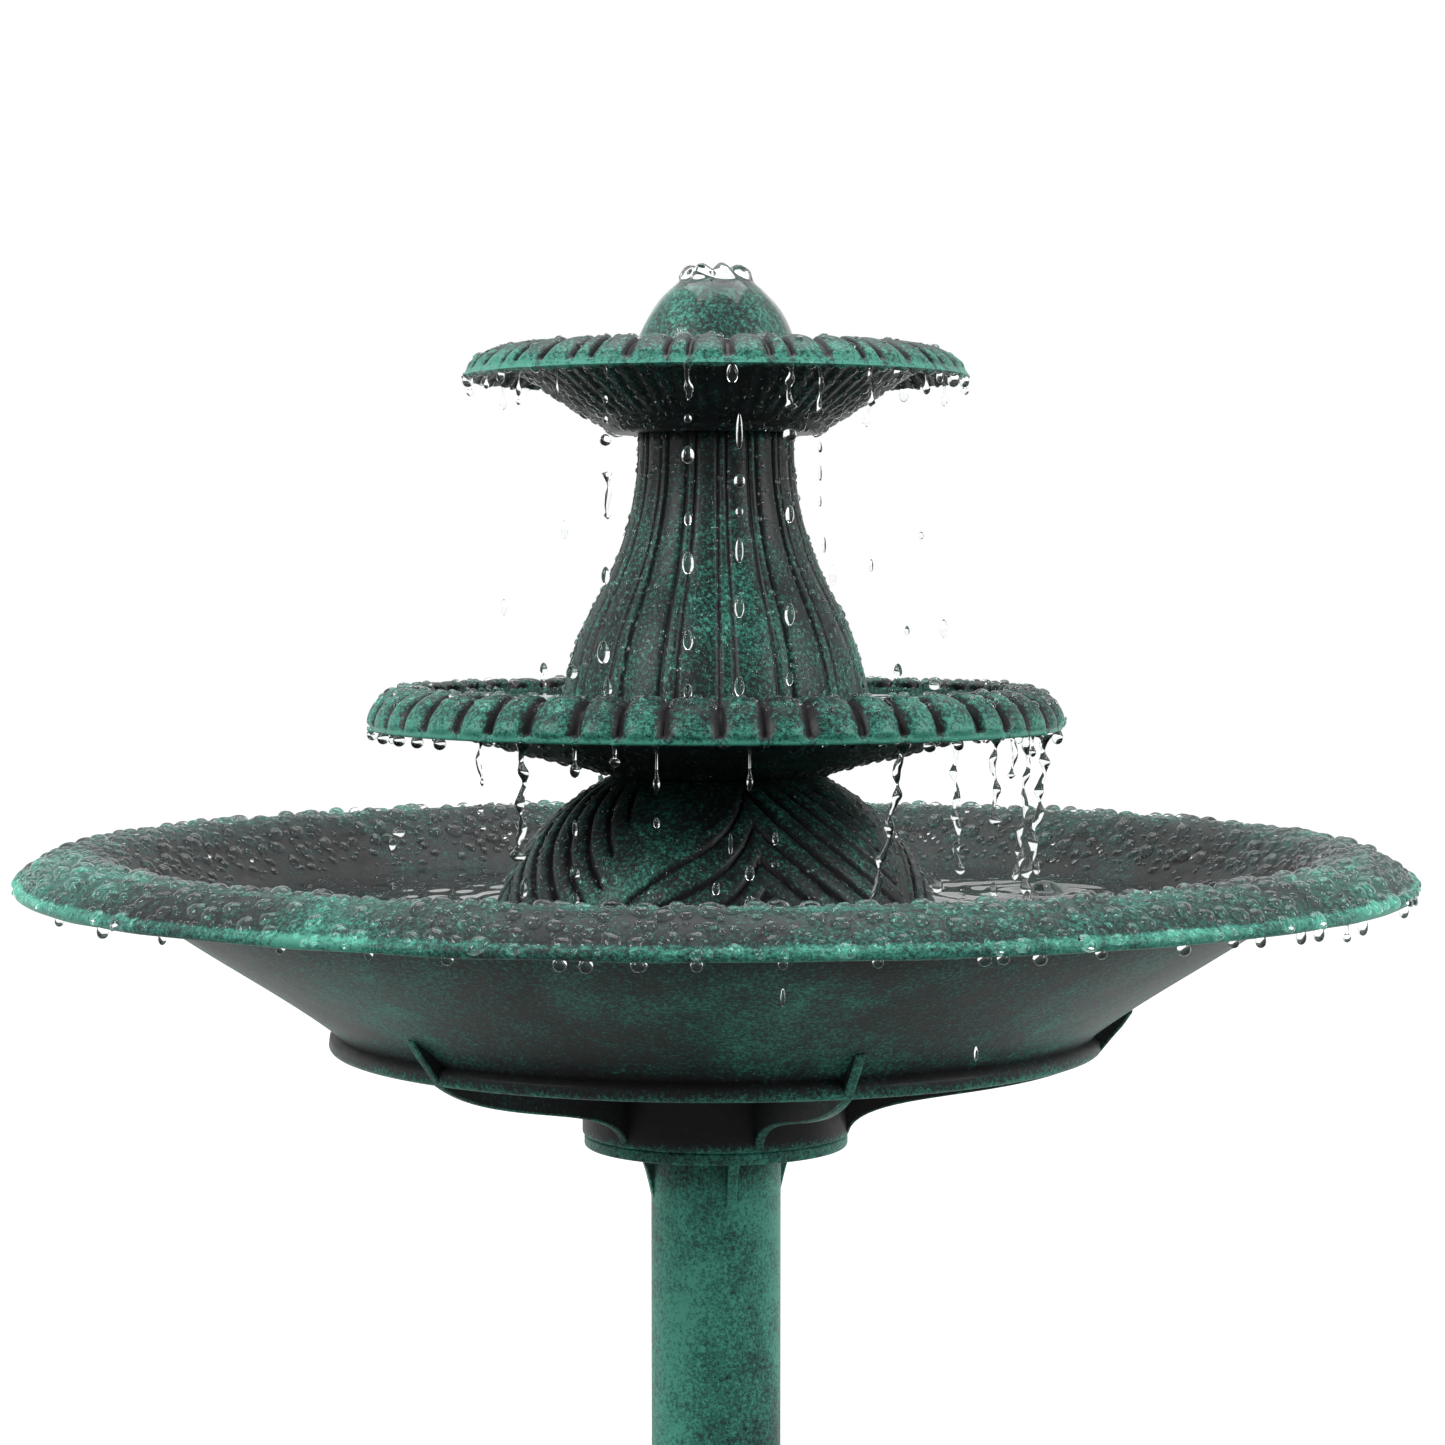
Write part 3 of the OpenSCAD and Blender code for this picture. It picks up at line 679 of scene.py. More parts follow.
MID_R = widest("middle_bowl")
MID_LIP = 16
MID_C = (MID_R - MID_LIP, NECK_Z + 20.3)
MID_WALL = 3.4
MID_BOSS_Z = NECK_Z + 15.5
MID_SOCKET = (SPIGOT_R + 0.4, NECK_Z + 12.5)
# The ring that stands inside the fluted column's foot
GUIDE_IN, GUIDE_OUT = 57.5, 60


def mid_under(r):
    """Height of the middle bowl's underside."""
    return NECK_Z + 0.27 * (r - 44.5)


mid_line = joined([
    [[MID_SOCKET[0], NECK_Z], [43, NECK_Z], [45.5, NECK_Z + 0.6], [117, mid_under(117)]],
    bezier((119, mid_under(119)), (122, mid_under(122)), (125, mid_under(119) + 4),
           (126.5, mid_under(119) + 9), 6),
    arc(MID_C, MID_LIP - MID_WALL, 100, 2, 8),
    [[MID_R - 3.2, MID_C[1] - 0.6], [MID_R - 0.6, MID_C[1] - 0.6]],
    arc(MID_C, MID_LIP, 0, 96, 44),
    bezier((MID_C[0] - 3, MID_C[1] + 15.6), (MID_C[0] - 7, MID_C[1] + 14.6), (MID_C[0] - 8, MID_C[1] + 7),
           (MID_C[0] - 12.5, mid_under(116.5) + MID_WALL), 10),
    [[68, NECK_Z + 9.8], [GUIDE_OUT, NECK_Z + 9.8], [GUIDE_OUT, NECK_Z + 12.4],
     [GUIDE_OUT - 0.6, NECK_Z + 13], [GUIDE_IN + 0.6, NECK_Z + 13], [GUIDE_IN, NECK_Z + 12.4],
     [GUIDE_IN, NECK_Z + 6.9],
     [45, mid_under(45) + MID_WALL], [36.6, mid_under(45) + MID_WALL], [36.6, MID_BOSS_Z],
     [TUBE_BORE_R, MID_BOSS_Z], [TUBE_BORE_R, MID_SOCKET[1]], MID_SOCKET, [MID_SOCKET[0], NECK_Z]]], 6)


def mid_relief(r, z, t, s):
    a = np.degrees(np.arctan2(z - MID_C[1], r - MID_C[0]))
    outer = (np.hypot(r - MID_C[0], z - MID_C[1]) > MID_LIP - 2.2) & (a > -3) & (r > MID_C[0] - 11)
    h, tone = lobe_relief(lobes(t, -8.0, (8.6, 6.9, 7.0)), a, 4, 112, 2.3, 1.5)
    edge = bump(a, 2.6) * outer
    plain = np.where(s < 115, -0.6, -0.2)
    return np.where(outer, h, 0), np.where(outer, tone + 0.35 * edge, plain)


middle = lathe("middle_bowl_shell", mid_line, 768, GREEN_MAT, "tower", mid_relief)
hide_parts("middle_bowl")

TOP_R = widest("top_bowl")
TOP_LIP = 24.4
TOP_CREST = TIER_Z + 34.8
TOP_C = (TOP_R - 20.5, TOP_CREST - TOP_LIP)
TOP_WALL = 3.6
TOP_BOSS_Z = TIER_Z + 15.5
TOP_SOCKET = (24.4, TIER_Z + 12.8)
# Angle round the roll at which the top bowl's outer edge lies
TOP_EDGE = 33


def top_under(r):
    """Height of the top bowl's underside."""
    return TIER_Z + 1.3 + 0.65 * (r - 45)


top_line = joined([
    [[TOP_SOCKET[0], TIER_Z], [43, TIER_Z]],
    arc((43, TIER_Z + 5), 5, -90, -50, 5),
    bezier((47.4, TIER_Z + 3.2), (58, TIER_Z + 9), (70, TIER_Z + 17.2), (80, top_under(80) + 0.3), 22),
    bezier((81, top_under(81)), (84, top_under(82.5)), (84.5, TOP_CREST - 5), (87, TOP_CREST - 3.2), 6),
    arc(TOP_C, TOP_LIP - 3, 84, TOP_EDGE, 8),
    arc(TOP_C, TOP_LIP, TOP_EDGE - 0.4, 94, 44),
    bezier((TOP_C[0] - 2.5, TOP_CREST - 0.3), (TOP_C[0] - 6, TOP_CREST - 1), (TOP_C[0] - 6, TOP_CREST - 6),
           (77, top_under(77) + TOP_WALL), 10),
    [[48, top_under(48) + TOP_WALL], [43, TIER_Z + 3.4], [27.4, TIER_Z + 3.4], [27.4, TOP_BOSS_Z],
     [TUBE_BORE_R, TOP_BOSS_Z], [TUBE_BORE_R, TOP_SOCKET[1]], TOP_SOCKET, [TOP_SOCKET[0], TIER_Z]]], 6)


def top_relief(r, z, t, s):
    a = np.degrees(np.arctan2(z - TOP_C[1], r - TOP_C[0]))
    outer = (np.hypot(r - TOP_C[0], z - TOP_C[1]) > TOP_LIP - 1.5) & (r > TOP_C[0] - 6)
    h, tone = lobe_relief(lobes(t, 2.75, (9.3, 4.5, 8.7)), a, 37.5, 96, 1.5, 1.3)
    edge = bump(a - TOP_EDGE, 1.8) * outer
    # Fine flutes under the bowl
    flutes = np.cos(np.radians(t * 64)) * smooth(50, 62, r) * ((s < 100) & (r > 50) & ~outer)
    plain = np.where(s < 100, -0.75 + 0.2 * flutes, -0.2)
    return np.where(outer, h, 0.3 * flutes), np.where(outer, tone - 0.12 + 0.3 * edge, plain)


top = lathe("top_bowl_shell", top_line, 768, GREEN_MAT, "tower", top_relief)
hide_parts("top_bowl")

# ---- fluted column ----

FLUTED_FOOT_Z = NECK_Z + 9.8
FLUTED_FOOT_R = 64.8
FLUTED_WALL = 3
FLUTE_PITCH = 22.5
# The column's side is an arc that swells out round BELLY, then one that draws in round WAIST
WAIST = (162.2, NECK_Z + 139)
WAIST_R = 130
BELLY = (-48.8, NECK_Z + 17.2)
BELLY_R = 113.6
flute_line = joined([
    [[FLUTED_FOOT_R, FLUTED_FOOT_Z]],
    arc(BELLY, BELLY_R, 0, 29, 40),
    arc(WAIST, WAIST_R, 210, 180, 52),
    [[32.2, TIER_Z - 0.3], [31.9, TIER_Z], [24, TIER_Z], [24, TIER_Z + 12], [21, TIER_Z + 12],
     [21, TIER_Z - FLUTED_WALL], [29, TIER_Z - FLUTED_WALL]],
    arc(WAIST, WAIST_R + FLUTED_WALL, 180, 210, 18),
    arc(BELLY, BELLY_R - FLUTED_WALL, 29, 0, 14),
    [[FLUTED_FOOT_R - FLUTED_WALL, FLUTED_FOOT_Z], [FLUTED_FOOT_R, FLUTED_FOOT_Z]]], 4)


def flute_relief(r, z, t, s):
    out = s < 150
    d = np.abs(((t - 4.4 + FLUTE_PITCH / 2) % FLUTE_PITCH - FLUTE_PITCH / 2) * r / RADIAN)
    # A narrow rib between two grooves, then a broad rounded band
    half = 3.05 * r / RADIAN
    groove = bump(np.abs(d - half), 0.62 + 0.006 * r)
    rib = smooth(half, half * 0.5, d)
    band = np.clip((d - half) / (FLUTE_PITCH / 2 * r / RADIAN - half), 0, 1)
    h = -0.9 * groove + 0.5 * rib + 0.5 * np.sin(band * math.pi / 2) + 0.25 * waves(r, z, t, 17, 30)
    # The column darkens towards its top, under the top bowl: painted shade.
    tone = -0.7 * groove + 0.15 * rib - 0.02 * band - 0.2 * smooth(TIER_Z - 70, TIER_Z - 20, z)
    tone = tone + 0.4 * waves(r, z, t, 19, 80) - 0.25
    return np.where(out, h, 0), np.where(out, tone, 0)


flute = lathe("fluted_column_shell", flute_line, 672, GREEN_MAT, "tower", flute_relief)
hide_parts("fluted_column")

# ---- spout dome ----

SPOUT_FOOT_Z = TIER_Z + 3.4
SPOUT_R = 34.2
SPOUT_IN_R = 31
SPOUT_BORE_R = 7.5
UP_TO_CROWN = (0, CROWN_Z)
spout_line = joined([
    [[SPOUT_IN_R, SPOUT_FOOT_Z], [SPOUT_R, SPOUT_FOOT_Z], [SPOUT_R, CROWN_Z - 34]],
    bezier((34.1, -31), (32.6, -20), (27, -7.2), (15.4, -0.4), 40) + UP_TO_CROWN,
    [[14.4, CROWN_Z], [12.5, CROWN_Z - 0.6], [SPOUT_BORE_R, CROWN_Z - 3], [SPOUT_BORE_R, CROWN_Z - 11],
     [6.5, CROWN_Z - 11], [6.5, CROWN_Z - 26], [9.6, CROWN_Z - 26], [9.6, CROWN_Z - 6]],
    bezier((13, -5.5), (20, -9), (26, -16), (30.5, -28), 16) + UP_TO_CROWN,
    [[SPOUT_IN_R, CROWN_Z - 34], [SPOUT_IN_R, SPOUT_FOOT_Z]]], 3)


def spout_relief(r, z, t, s):
    return 0.2 * waves(r, z, t, 23, 24) * (s < 70), -0.15 - 0.6 * bump(z - CROWN_Z, 1.6)


spout = lathe("spout_dome_shell", spout_line, 288, GREEN_MAT, "spout", spout_relief)
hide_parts("spout_dome")

# ---- water ----

WALL_TILT = (WALL_HEAD[1] - WALL_FOOT[1]) / (WALL_HEAD[0] - WALL_FOOT[0])
POOL_R = WALL_FOOT[0] + (POOL_Z - WALL_FOOT[1]) / WALL_TILT
# Where falling water raises a mound and rings in the pool, as x and y
SPLASH = (144.0, 54.0)


def pool_relief(r, z, t, s):
    top = smooth(POOL_Z - 0.5, POOL_Z, z)
    x, y = r * np.sin(np.radians(t)), -r * np.cos(np.radians(t))
    far = np.hypot(x - SPLASH[0], y - SPLASH[1])
    rings = 0.75 * np.sin(far * 2 * math.pi / 17) * np.exp(-far / 60) * smooth(4, 14, far)
    dome_rings = 0.3 * np.sin((r - DOME_R) * 2 * math.pi / 13) * np.exp(-np.abs(r - DOME_R) / 30)
    mound = 5.2 * np.sqrt(np.clip(1 - (far / 7.5) ** 2, 0, 1))
    return top * (rings + dome_rings + mound + 0.35 * waves(r, 0, t, 61, 34)), 0 * r


pool_line = joined([
    [[0, FLOOR_Z - 0.3], [12, FLOOR_Z - 0.3], [150, FLOOR_Z - 0.3], [155.5, FLOOR_Z + 1.6],
     [WALL_FOOT[0] + 0.8, WALL_FOOT[1] - 0.9], [POOL_R + 0.4, POOL_Z], [0, POOL_Z]]], 2.2)
lathe("water_pool", pool_line, 420, WATER, "stand", pool_relief)


def trough_relief(r, z, t, s):
    top = smooth(TROUGH_Z - 0.4, TROUGH_Z, z) * smooth(122, 117, r)
    return 0.5 * waves(r, 0, t, 67, 22) * top, 0 * r


# The water in each bowl reaches a little way into its wall
trough_line = joined([
    [[60, NECK_Z + 9.3], [68, NECK_Z + 9.3], [116.8, mid_under(116.5) + 2.9], [122.4, TROUGH_Z],
     [60, TROUGH_Z]]], 2.2)
lathe("water_trough", trough_line, 480, WATER, "tower", trough_relief)


def cup_relief(r, z, t, s):
    top = smooth(CUP_Z - 0.4, CUP_Z, z) * smooth(78, 74, r)
    return 0.3 * waves(r, 0, t, 71, 18) * top, 0 * r


cup_line = joined([
    [[33.6, TIER_Z + 3], [43.2, TIER_Z + 3], [48.2, top_under(48) + 3.2], [77.2, top_under(77) + 3.2],
     [78.8, CUP_Z], [33.6, CUP_Z]]], 2.2)
lathe("water_cup", cup_line, 320, WATER, "tower", cup_relief)


def crown_relief(r, z, t, s):
    up = smooth(CROWN_Z, CROWN_Z + 3.5, z)
    knobs = np.abs(np.sin(np.radians(t * 4.5 + 30))) ** 0.7
    knobs = knobs + 0.6 * np.abs(np.sin(np.radians(t * 3.5 - 20 + z * 5)))
    lump = (1.9 * knobs - 1.6 + 0.8 * waves(r, z, t, 79, 7)) * up * smooth(3, 9, r)
    film = 0.35 * waves(r, z * 0.4, t, 77, 13) * smooth(CROWN_Z - 0.5, CROWN_Z - 5, z)
    return (lump + film) * (s > 60), 0 * r


crown_line = joined([
    [[0, -7], [7.8, -7], [7.8, -3.3], [12.5, -1.2], [14.6, -1.2]],
    bezier((15.2, -1.4), (26.4, -8), (31.8, -20.4), (33.3, -31), 20),
    [[34.7, -31.2]],
    bezier((34.3, -28), (31.5, -15), (24.5, -5.5), (16.2, 0.8), 26),
    bezier((15.4, 1.6), (14.4, 3.2), (14.6, 6.4), (11, 6.9), 12),
    bezier((11, 6.9), (7, 7), (5, 5.4), (0, 5.2), 8)], 1.3) + UP_TO_CROWN
lathe("water_crown", crown_line, 180, FILM, "spout", crown_relief)


BEAD_SIDES = 10
# Radius and height of a bead's rings, from one sunk in the surface up
BEAD_RINGS = ((1.0, -0.16), (1.0, 0.12), (0.86, 0.52), (0.52, 0.86))
BEAD_LEAN = 0.12


def beads(name, source, body, count, radii, seed, where, tall=0.5, spread=1.0):
    """Beads of water on the faces of a piece for which where(x, y, z, nz) is above 0. A bead stands tall
    times its radius high, and two are at least spread times the sum of their radii apart."""
    rng = np.random.default_rng(seed)
    mesh = source.data
    n = len(mesh.polygons)
    centres, normals, areas = np.empty(n * 3), np.empty(n * 3), np.empty(n)
    mesh.polygons.foreach_get("center", centres)
    mesh.polygons.foreach_get("normal", normals)
    mesh.polygons.foreach_get("area", areas)
    centres, normals = centres.reshape(-1, 3) / MM, normals.reshape(-1, 3)
    weight = areas * np.clip(where(*centres.T, normals[:, 2]), 0, None)
    pick = rng.choice(n, count * 3, p=weight / weight.sum())
    wanted = np.sort(radii[0] * (radii[1] / radii[0]) ** (rng.random(count * 3) ** 2.2))[::-1]
    kept, at, sizes = [], np.empty((0, 3)), np.empty(0)
    for k, a in zip(pick, wanted):
        if (np.linalg.norm(at - centres[k], axis=1) < spread * (a + sizes)).any():
            continue
        kept.append(k)
        at = np.vstack([at, centres[k]])
        sizes = np.append(sizes, a)
        if len(kept) == count:
            break
    m = len(kept)
    nrm = normals[kept]
    down = np.array([0, 0, -1]) + nrm * nrm[:, 2:]
    down = down + 1e-4 * rng.normal(size=(m, 3))
    down /= np.linalg.norm(down, axis=1)[:, None]
    side = np.cross(nrm, down)
    theta = np.linspace(0, 2 * math.pi, BEAD_SIDES, endpoint=False)
    wobble = 1 + 0.14 * np.sin(2 * theta + rng.uniform(0, 6.3, (m, 1)))
    wobble = wobble + 0.07 * np.sin(3 * theta + rng.uniform(0, 6.3, (m, 1)))
    size = sizes[:, None]
    verts = []
    for wide, up in BEAD_RINGS:
        q = size * wide * wobble
        below = q * np.cos(theta) + BEAD_LEAN * size * max(up, 0)
        beside = q * np.sin(theta)
        verts.append(at[:, None] + nrm[:, None] * (size[..., None] * up * tall)
                     + down[:, None] * below[..., None] + side[:, None] * beside[..., None])
    verts = np.concatenate(verts, 1)
    top = at + nrm * size * tall + down * size * BEAD_LEAN
    foot = at - nrm * size * 0.16 * tall
    verts = np.concatenate([verts, top[:, None], foot[:, None]], 1)
    quads, caps = [], []
    for j in range(BEAD_SIDES):
        jj = (j + 1) % BEAD_SIDES
        for row in range(0, (len(BEAD_RINGS) - 1) * BEAD_SIDES, BEAD_SIDES):
            quads.append([row + j, row + jj, row + BEAD_SIDES + jj, row + BEAD_SIDES + j])
        last = (len(BEAD_RINGS) - 1) * BEAD_SIDES
        caps.append([last + j, last + jj, last + BEAD_SIDES])
        caps.append([jj, j, last + BEAD_SIDES + 1])
    step = (np.arange(m) * verts.shape[1])[:, None, None]
    faces = (np.array(quads) + step).reshape(-1, 4).tolist() + (np.array(caps) + step).reshape(-1, 3).tolist()
    return new_object(name, verts.reshape(-1, 3), faces, WATER, body)


def on_rim(x, y, z, nz):
    return (nz > 0.25) * (np.hypot(x, y) > 232) * (z > RIM_Z - 15)


def on_wall(x, y, z, nz):
    return (nz > 0.3) * (np.hypot(x, y) < 236) * (z > POOL_Z + 2)


def on_leaves(x, y, z, nz):
    outside = np.hypot(np.hypot(x, y), z - DOME_C[1]) > DOME_R - 2.5
    return outside * (z > POOL_Z + 1) * (z < NECK_Z - 1) * (nz > 0)


def on_middle(x, y, z, nz):
    return np.where(nz > 0.1, (z > TROUGH_Z + 0.5) * 1.0, (nz < -0.4) * (np.hypot(x, y) > 48) * 0.35)


def on_column(x, y, z, nz):
    return (np.hypot(x, y) > 32) * (z > TROUGH_Z + 1) * (z < TIER_Z - 1) * (nz > -0.5)


def on_top(x, y, z, nz):
    return np.where(nz > 0.1, (z > CUP_Z + 3) * 0.25, (nz < -0.3) * (np.hypot(x, y) > 44) * 1.0)


def on_spout(x, y, z, nz):
    return (z < CROWN_Z - 14) * (np.hypot(x, y) > 30) * 1.0


beads("water_beads_rim", basin, "stand", 2600, (1.2, 4.4), 101, on_rim, 0.66, 0.97)
beads("water_beads_basin", basin, "stand", 480, (0.9, 3.0), 103, on_wall, 0.45)
beads("water_beads_dome", dome, "tower", 1500, (0.5, 1.6), 105, on_leaves)
beads("water_beads_middle", middle, "tower", 1500, (0.8, 2.6), 107, on_middle, 0.55, 0.9)
beads("water_beads_column", flute, "tower", 2400, (0.5, 1.7), 109, on_column, 0.6)
beads("water_beads_top", top, "tower", 2000, (0.7, 2.3), 111, on_top, 0.55)
beads("water_beads_spout", spout, "spout", 90, (0.5, 1.5), 113, on_spout)


def strands(name, lines, body):
    """Threads and drops of water. Each is a list of (x, y, z, radius) from its top down."""
    seg = 12
    verts, faces = [], []
    theta = np.linspace(0, 2 * math.pi, seg, endpoint=False)
    for line in lines:
        base = len(verts)
        for x, y, z, r in line:
            verts += [(x + r * math.cos(a), y + r * math.sin(a), z) for a in theta]
        n = len(line)
        for (x, y, z, r), way in ((line[0], 0.3), (line[-1], -0.3)):
            verts.append((x, y, z + way * r))
        for i in range(n - 1):
            for j in range(seg):
                a, b = base + i * seg + j, base + i * seg + (j + 1) % seg
                faces.append([b, a, a + seg, b + seg])
        for j in range(seg):
            faces.append([base + j, base + (j + 1) % seg, base + n * seg])
            faces.append([base + (n - 1) * seg + (j + 1) % seg, base + (n - 1) * seg + j, base + n * seg + 1])
    return new_object(name, verts, faces, WATER, body)


def drop(x, y, z, width, length):
    """A falling drop centred at z, longer than it is wide and a little heavier below."""
    out = []
    for a in range(172, 0, -12):
        k = math.cos(math.radians(a))
        radius = width / 2 * math.sqrt(1 - k * k) * (1 + 0.12 * k)
        out.append((x, y, z - length / 2 * k, max(0.08, radius)))
    return out


def pendant(x, y, z, width, length):
    """A drop that hangs from an edge at z, on a neck of its own where it is long."""
    if length < 1.6 * width:
        return drop(x, y, z - length / 2 + 0.9, width, length + 1.4)
    out = []
    for k in range(25):
        q = k / 24
        neck = 0.5 * math.exp(-((q / 0.12) ** 2)) + 0.3
        bulb = 0.7 / (1 + math.exp(-(q - 0.66) / 0.05))
        close = math.sqrt(max(0.002, 1 - max(0, (q - 0.7) / 0.3) ** 2))
        out.append((x, y, z + 1.2 - (length + 1.2) * q, width / 2 * (neck + bulb) * close))
    return out


def thread(x, y, z, width, length, lean=(0, 0), beat=9.0, wave=0.5):
    """A thin stream that swells and narrows on its way down to a bulb, and drifts aside by lean."""
    n = max(8, int(length / 1.3))
    out = []
    for k in range(n + 1):
        q = k / n
        turn = q * length / beat
        swell = 0.62 + 0.26 * math.sin(turn * 6.28 + x) + 0.12 * math.sin(turn * 11 + y)
        swell += 0.5 * math.exp(-((q - 0.94) / 0.05) ** 2) + 0.6 * math.exp(-((q / 0.06) ** 2))
        close = math.sqrt(max(0.01, 1 - max(0, (q - 0.94) / 0.06) ** 2))
        aside = x + lean[0] * q**1.5 + wave * math.sin(turn * 4 + y)
        out.append((aside, y + lean[1] * q**1.5, z + 1 - (length + 1) * q, width / 2 * swell * close))
    return out


def lip_point(azimuth, radius):
    """The x and y of a point on a round lip."""
    a = math.radians(azimuth)
    return radius * math.sin(a), -radius * math.cos(a)


# Radius and height at which water leaves each of the three lips
TOP_DRIP_R = TOP_R - 1.6
MID_DRIP_R = MID_R - 1.2
RIM_DRIP_R = BASIN_R - 2.6
TOP_EDGE_Z = TOP_C[1] + TOP_LIP * math.sin(math.radians(TOP_EDGE)) - 1.5
MID_EDGE_Z = MID_C[1] - 1
RIM_EDGE_Z = RIM_Z - 16

top_drips, mid_drips, rim_drips, falls = [], [], [], []
# Azimuth, width and length of what hangs from the top bowl's edge
for azimuth, width, length in (
        (-79, 4.6, 4), (-63, 2.6, 6), (-49, 2.4, 10), (-37, 1.6, 11), (3.5, 4.6, 7), (44, 4, 4),
        (54, 3.4, 9), (60, 3, 4), (68, 5, 5), (80, 4, 4), (-56, 3.4, 4), (90, 3.6, 6), (110, 3, 9),
        (128, 4, 6), (150, 3, 12), (171, 4, 7), (-96, 3.4, 6), (-118, 3, 10), (-139, 4, 5), (-160, 3, 9)):
    top_drips.append(pendant(*lip_point(azimuth, TOP_DRIP_R), TOP_EDGE_Z, width, length))
for azimuth, width, length in (
        (-6, 4, 13.5), (16, 3.8, 17), (23, 2.4, 19), (36, 2.6, 15), (-24.5, 1.4, 6), (140, 3, 16),
        (-150, 3, 14)):
    top_drips.append(thread(*lip_point(azimuth, TOP_DRIP_R), TOP_EDGE_Z, width, length))
# What falls past the fluted column: azimuth, height above the middle bowl's foot, width and length
for azimuth, above, width, length in (
        (-24.5, 153, 2, 3), (-24.5, 145, 2, 3), (-24.5, 137, 4.4, 4.6), (-24.5, 84, 3.4, 7),
        (-25, 54, 5, 9), (-24, 40, 3.4, 7), (-6, 145, 3, 3.5), (-6, 131, 5, 7), (-6, 106, 3, 5),
        (-6, 89, 4.6, 9), (-6, 59, 4, 8), (-6, 39, 3.4, 6), (5, 140, 2.6, 14), (5, 121, 4.4, 5.5),
        (5, 109, 3, 4), (5, 94, 3.2, 10), (5, 72, 3.8, 9), (5, 41, 4, 8), (16, 139, 5.4, 5.6),
        (16, 108, 3.4, 7), (16, 69, 4, 9), (16, 44, 3, 6), (23, 134, 1.6, 4), (23, 124, 1.4, 6),
        (23, 113, 1.2, 4), (24, 96, 1.4, 6), (36, 88, 1.6, 5), (-49, 153, 1.6, 2.2), (52, 100, 2, 3),
        (47, 62, 2, 4), (-41, 47, 3, 5), (-33, 46, 4.6, 5.6), (44, 46, 3.4, 6), (58, 40, 5, 4.4),
        (-140, 104, 3, 8), (150, 84, 3, 9), (171, 121, 3, 6), (-118, 70, 2.6, 7), (110, 61, 3, 8)):
    falls.append(drop(*lip_point(azimuth, TOP_DRIP_R), NECK_Z + above, width, length))
falls.append(thread(*lip_point(-24, TOP_DRIP_R), NECK_Z + 123, 3, 17, wave=0.4))
strands("water_drips_top", top_drips, "tower")
strands("water_falls_top", falls, "tower")

# What hangs from the middle bowl's edge, drops and then threads
for azimuth, width, length in (
        (-70, 5, 4), (-62, 5, 4), (-55.5, 5, 4), (-49, 5, 4), (-22, 4.4, 12.5), (-15.5, 4.6, 8),
        (5.1, 2.6, 17), (-9, 2.8, 18), (35, 5, 3.6), (41, 4, 3.4), (62, 3, 8), (78, 4.6, 5), (96, 5, 5),
        (113, 4, 9), (-83, 4.6, 4), (-104, 4, 8), (-126, 5, 5), (-147, 4, 10), (162, 4, 7),
        (-171, 4.4, 6)):
    mid_drips.append(pendant(*lip_point(azimuth, MID_DRIP_R), MID_EDGE_Z, width, length))
for azimuth, width, length, lean in (
        (-39.5, 2.6, 17, (0, 0)), (-31, 4.6, 46, (-2, 3)), (29.6, 4.4, 72, (-14, 5)),
        (49.5, 3.6, 34, (1, 2)), (55, 3.0, 16, (0, 1)), (60, 3.2, 58, (-4, 3)), (68, 4.6, 66, (-8, 6)),
        (132, 4, 70, (2, -4)), (-158, 4, 62, (4, 3))):
    mid_drips.append(thread(*lip_point(azimuth, MID_DRIP_R), MID_EDGE_Z, width, length, lean, 11, 0.8))
strands("water_drips_middle", mid_drips, "tower")

# What falls past the leaf dome: azimuth, height above the basin's floor, width and length
falls = []
for azimuth, above, width, length in (
        (-39.5, 101, 2.4, 4), (-39, 94, 2.6, 3), (-31, 71, 3, 7), (-32, 62, 4, 5), (-22, 95, 2, 7),
        (-22, 78, 4, 5), (-22, 68, 3.4, 5), (-19.5, 60, 3.8, 8), (-9, 98, 2.4, 4), (5.1, 79, 3.6, 6),
        (5.1, 67, 4, 7), (9, 92, 2.4, 5), (9, 82, 3, 3), (9, 68, 3.4, 4), (0, 73, 3, 5), (0, 64, 3, 5),
        (2.2, 90, 1.6, 9), (29, 92, 2, 3), (43, 100, 2, 3), (49.5, 68, 3.2, 6), (60, 62, 3.6, 7),
        (64, 74, 3, 6), (132, 84, 3, 6), (-104, 76, 3, 6), (113, 72, 3, 7)):
    falls.append(drop(*lip_point(azimuth, MID_DRIP_R), FLOOR_Z + above, width, length))
for x, y, above, width, length in ((94, 10, 60, 4.6, 7), (140, 48, 64, 3, 4), (-128, -60, 88, 5, 4)):
    falls.append(drop(x, y, FLOOR_Z + above, width, length))
strands("water_falls_middle", falls, "tower")

# What hangs from the basin's rim, as seen in front and then at random round the back
for azimuth, width, length in (
        (-60, 3.6, 3.4), (-52, 4.6, 4.4), (-44, 3, 3.4), (-32, 3.4, 2.6), (-24.6, 3.2, 2.6),
        (-18.6, 4.4, 3.2), (-10.6, 5, 4.2), (-8.8, 5, 4.6), (-5.2, 6, 4.0), (-1.3, 4.4, 3.8),
        (4.5, 3.4, 3), (11, 4, 3), (18.6, 5, 3.6), (20, 4.6, 3.2), (22.8, 5.2, 4.2), (27.7, 4.4, 3.2),
        (35, 5, 4.2), (40, 4, 3.2), (43, 4, 4.2), (48, 4, 5), (50.5, 4.2, 5), (55, 3.6, 7), (58, 4, 6),
        (70, 4, 5), (85, 3.6, 5)):
    rim_drips.append(pendant(*lip_point(azimuth, RIM_DRIP_R), RIM_EDGE_Z, width, length))
rng = np.random.default_rng(127)
for azimuth in range(96, 284, 7):
    at = lip_point(azimuth + rng.uniform(-2.5, 2.5), RIM_DRIP_R)
    rim_drips.append(pendant(*at, RIM_EDGE_Z, rng.uniform(3, 5), rng.uniform(3, 6)))
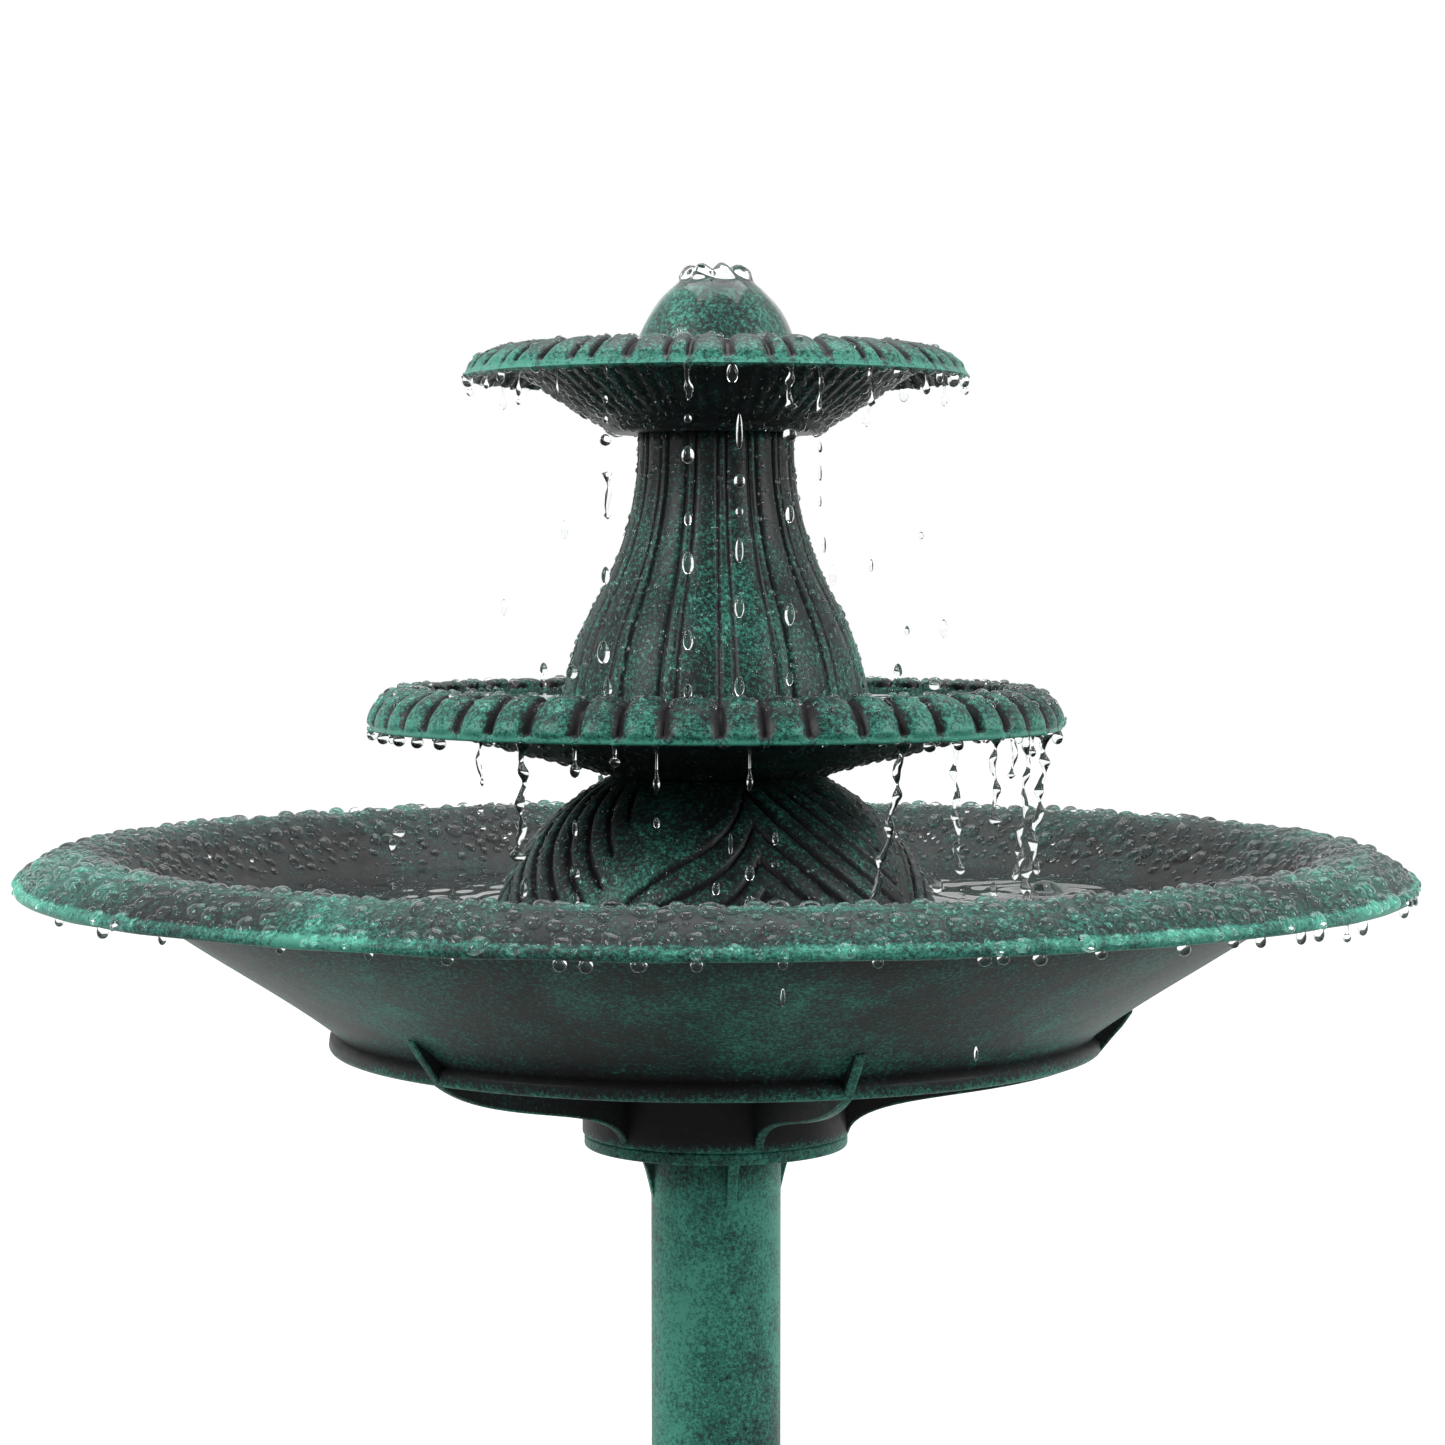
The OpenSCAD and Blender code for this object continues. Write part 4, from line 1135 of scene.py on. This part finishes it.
for azimuth, below, width, length in ((4.5, 12, 1.6, 6), (18, 33, 1.4, 5)):
    rim_drips.append(drop(*lip_point(azimuth, RIM_DRIP_R), RIM_EDGE_Z - below, width, length))
strands("water_drips_rim", rim_drips, "stand")

# ---- camera, light and floor ----

FRONT_LIGHT = 0.22
BACK_LIGHT = 1.0

scene = bpy.context.scene
scene.view_settings.view_transform = "Standard"
camera = bpy.data.objects.new("camera", bpy.data.cameras.new("camera"))
camera.data.sensor_width = 36
camera.data.lens = 84.7
camera.data.clip_end = 60
camera.location = (0, -1.428, 0.8972)
camera.rotation_euler = (math.radians(90 - 2.568), 0, math.radians(-0.11))
scene.collection.objects.link(camera)
scene.camera = camera

# A white studio: bright behind the object, dimmer in front of it, and plain white where the camera looks
world = bpy.data.worlds.new("studio")
world.use_nodes = True
sky, wires = world.node_tree.nodes, world.node_tree.links
place = sky.new("ShaderNodeSeparateXYZ")
wires.new(sky.new("ShaderNodeTexCoord").outputs["Generated"], place.inputs[0])
behind = map_range(sky, wires, place.outputs["Y"], -0.35, 0.55, FRONT_LIGHT, BACK_LIGHT)
behind.interpolation_type = "SMOOTHSTEP"
seen = sky.new("ShaderNodeMix")
seen.data_type = "FLOAT"
seen.inputs["B"].default_value = 1.0
wires.new(sky.new("ShaderNodeLightPath").outputs["Is Camera Ray"], seen.inputs["Factor"])
wires.new(behind.outputs["Result"], seen.inputs["A"])
wires.new(seen.outputs["Result"], sky["Background"].inputs["Strength"])
sky["Background"].inputs["Color"].default_value = (1, 1, 1, 1)
scene.world = world


def area(name, at, size, power):
    """A rectangular lamp that points at the middle of the fountain."""
    lamp = bpy.data.objects.new(name, bpy.data.lights.new(name, "AREA"))
    lamp.data.shape = "RECTANGLE"
    lamp.data.size, lamp.data.size_y = size
    lamp.data.energy = power
    lamp.location = at
    lamp.rotation_euler = (Vector(LAMP_AIM) - Vector(at)).to_track_quat("-Z", "Y").to_euler()
    scene.collection.objects.link(lamp)


LAMP_AIM = (0, 0, 0.8)
area("key", (-2.4, -1.6, 2.4), (1.6, 1.6), 70)
area("fill", (2.6, -1.2, 2.0), (1.6, 1.6), 55)
area("top", (0, 0.6, 3.2), (2.0, 2.0), 40)


def floor_material():
    """Pale floor that fades into the white backdrop. To everything but the camera it is a dim floor that
    glows more and more towards the back, as the sky does."""
    material, nodes, links, shader, coords = node_material("floor_pale")
    cloud = noise(nodes, links, coords, 6, 3)
    pale = ramp(nodes, links, cloud, [(0.2, (0.84, 0.84, 0.84)), (0.8, (0.88, 0.88, 0.88))])
    links.new(pale, shader.inputs["Base Color"])
    shader.inputs["Roughness"].default_value = 0.9
    shader.inputs["Specular IOR Level"].default_value = 0.0
    shader.inputs["Emission Color"].default_value = (1, 1, 1, 1)
    shader.inputs["Emission Strength"].default_value = 0.62
    bounce = nodes.new("ShaderNodeBsdfDiffuse")
    bounce.inputs["Color"].default_value = (0.3, 0.3, 0.3, 1)
    place = nodes.new("ShaderNodeSeparateXYZ")
    links.new(coords, place.inputs[0])
    behind = map_range(nodes, links, place.outputs["Y"], 0.1, 1.6, 0.0, 1.2)
    glow = nodes.new("ShaderNodeEmission")
    links.new(behind.outputs["Result"], glow.inputs["Strength"])
    lit = nodes.new("ShaderNodeAddShader")
    links.new(bounce.outputs[0], lit.inputs[0])
    links.new(glow.outputs[0], lit.inputs[1])
    split_by_ray(nodes, links, "Is Camera Ray", lit, shader)
    return material


FLOOR_HALF = 14
floor_mesh = bpy.data.meshes.new("floor")
floor_mesh.from_pydata([(x * FLOOR_HALF, y * FLOOR_HALF, 0) for x, y in ((-1, -1), (1, -1), (1, 1), (-1, 1))],
                       [], [(0, 1, 2, 3)])
floor = bpy.data.objects.new("floor", floor_mesh)
floor_mesh.materials.append(floor_material())
scene.collection.objects.link(floor)
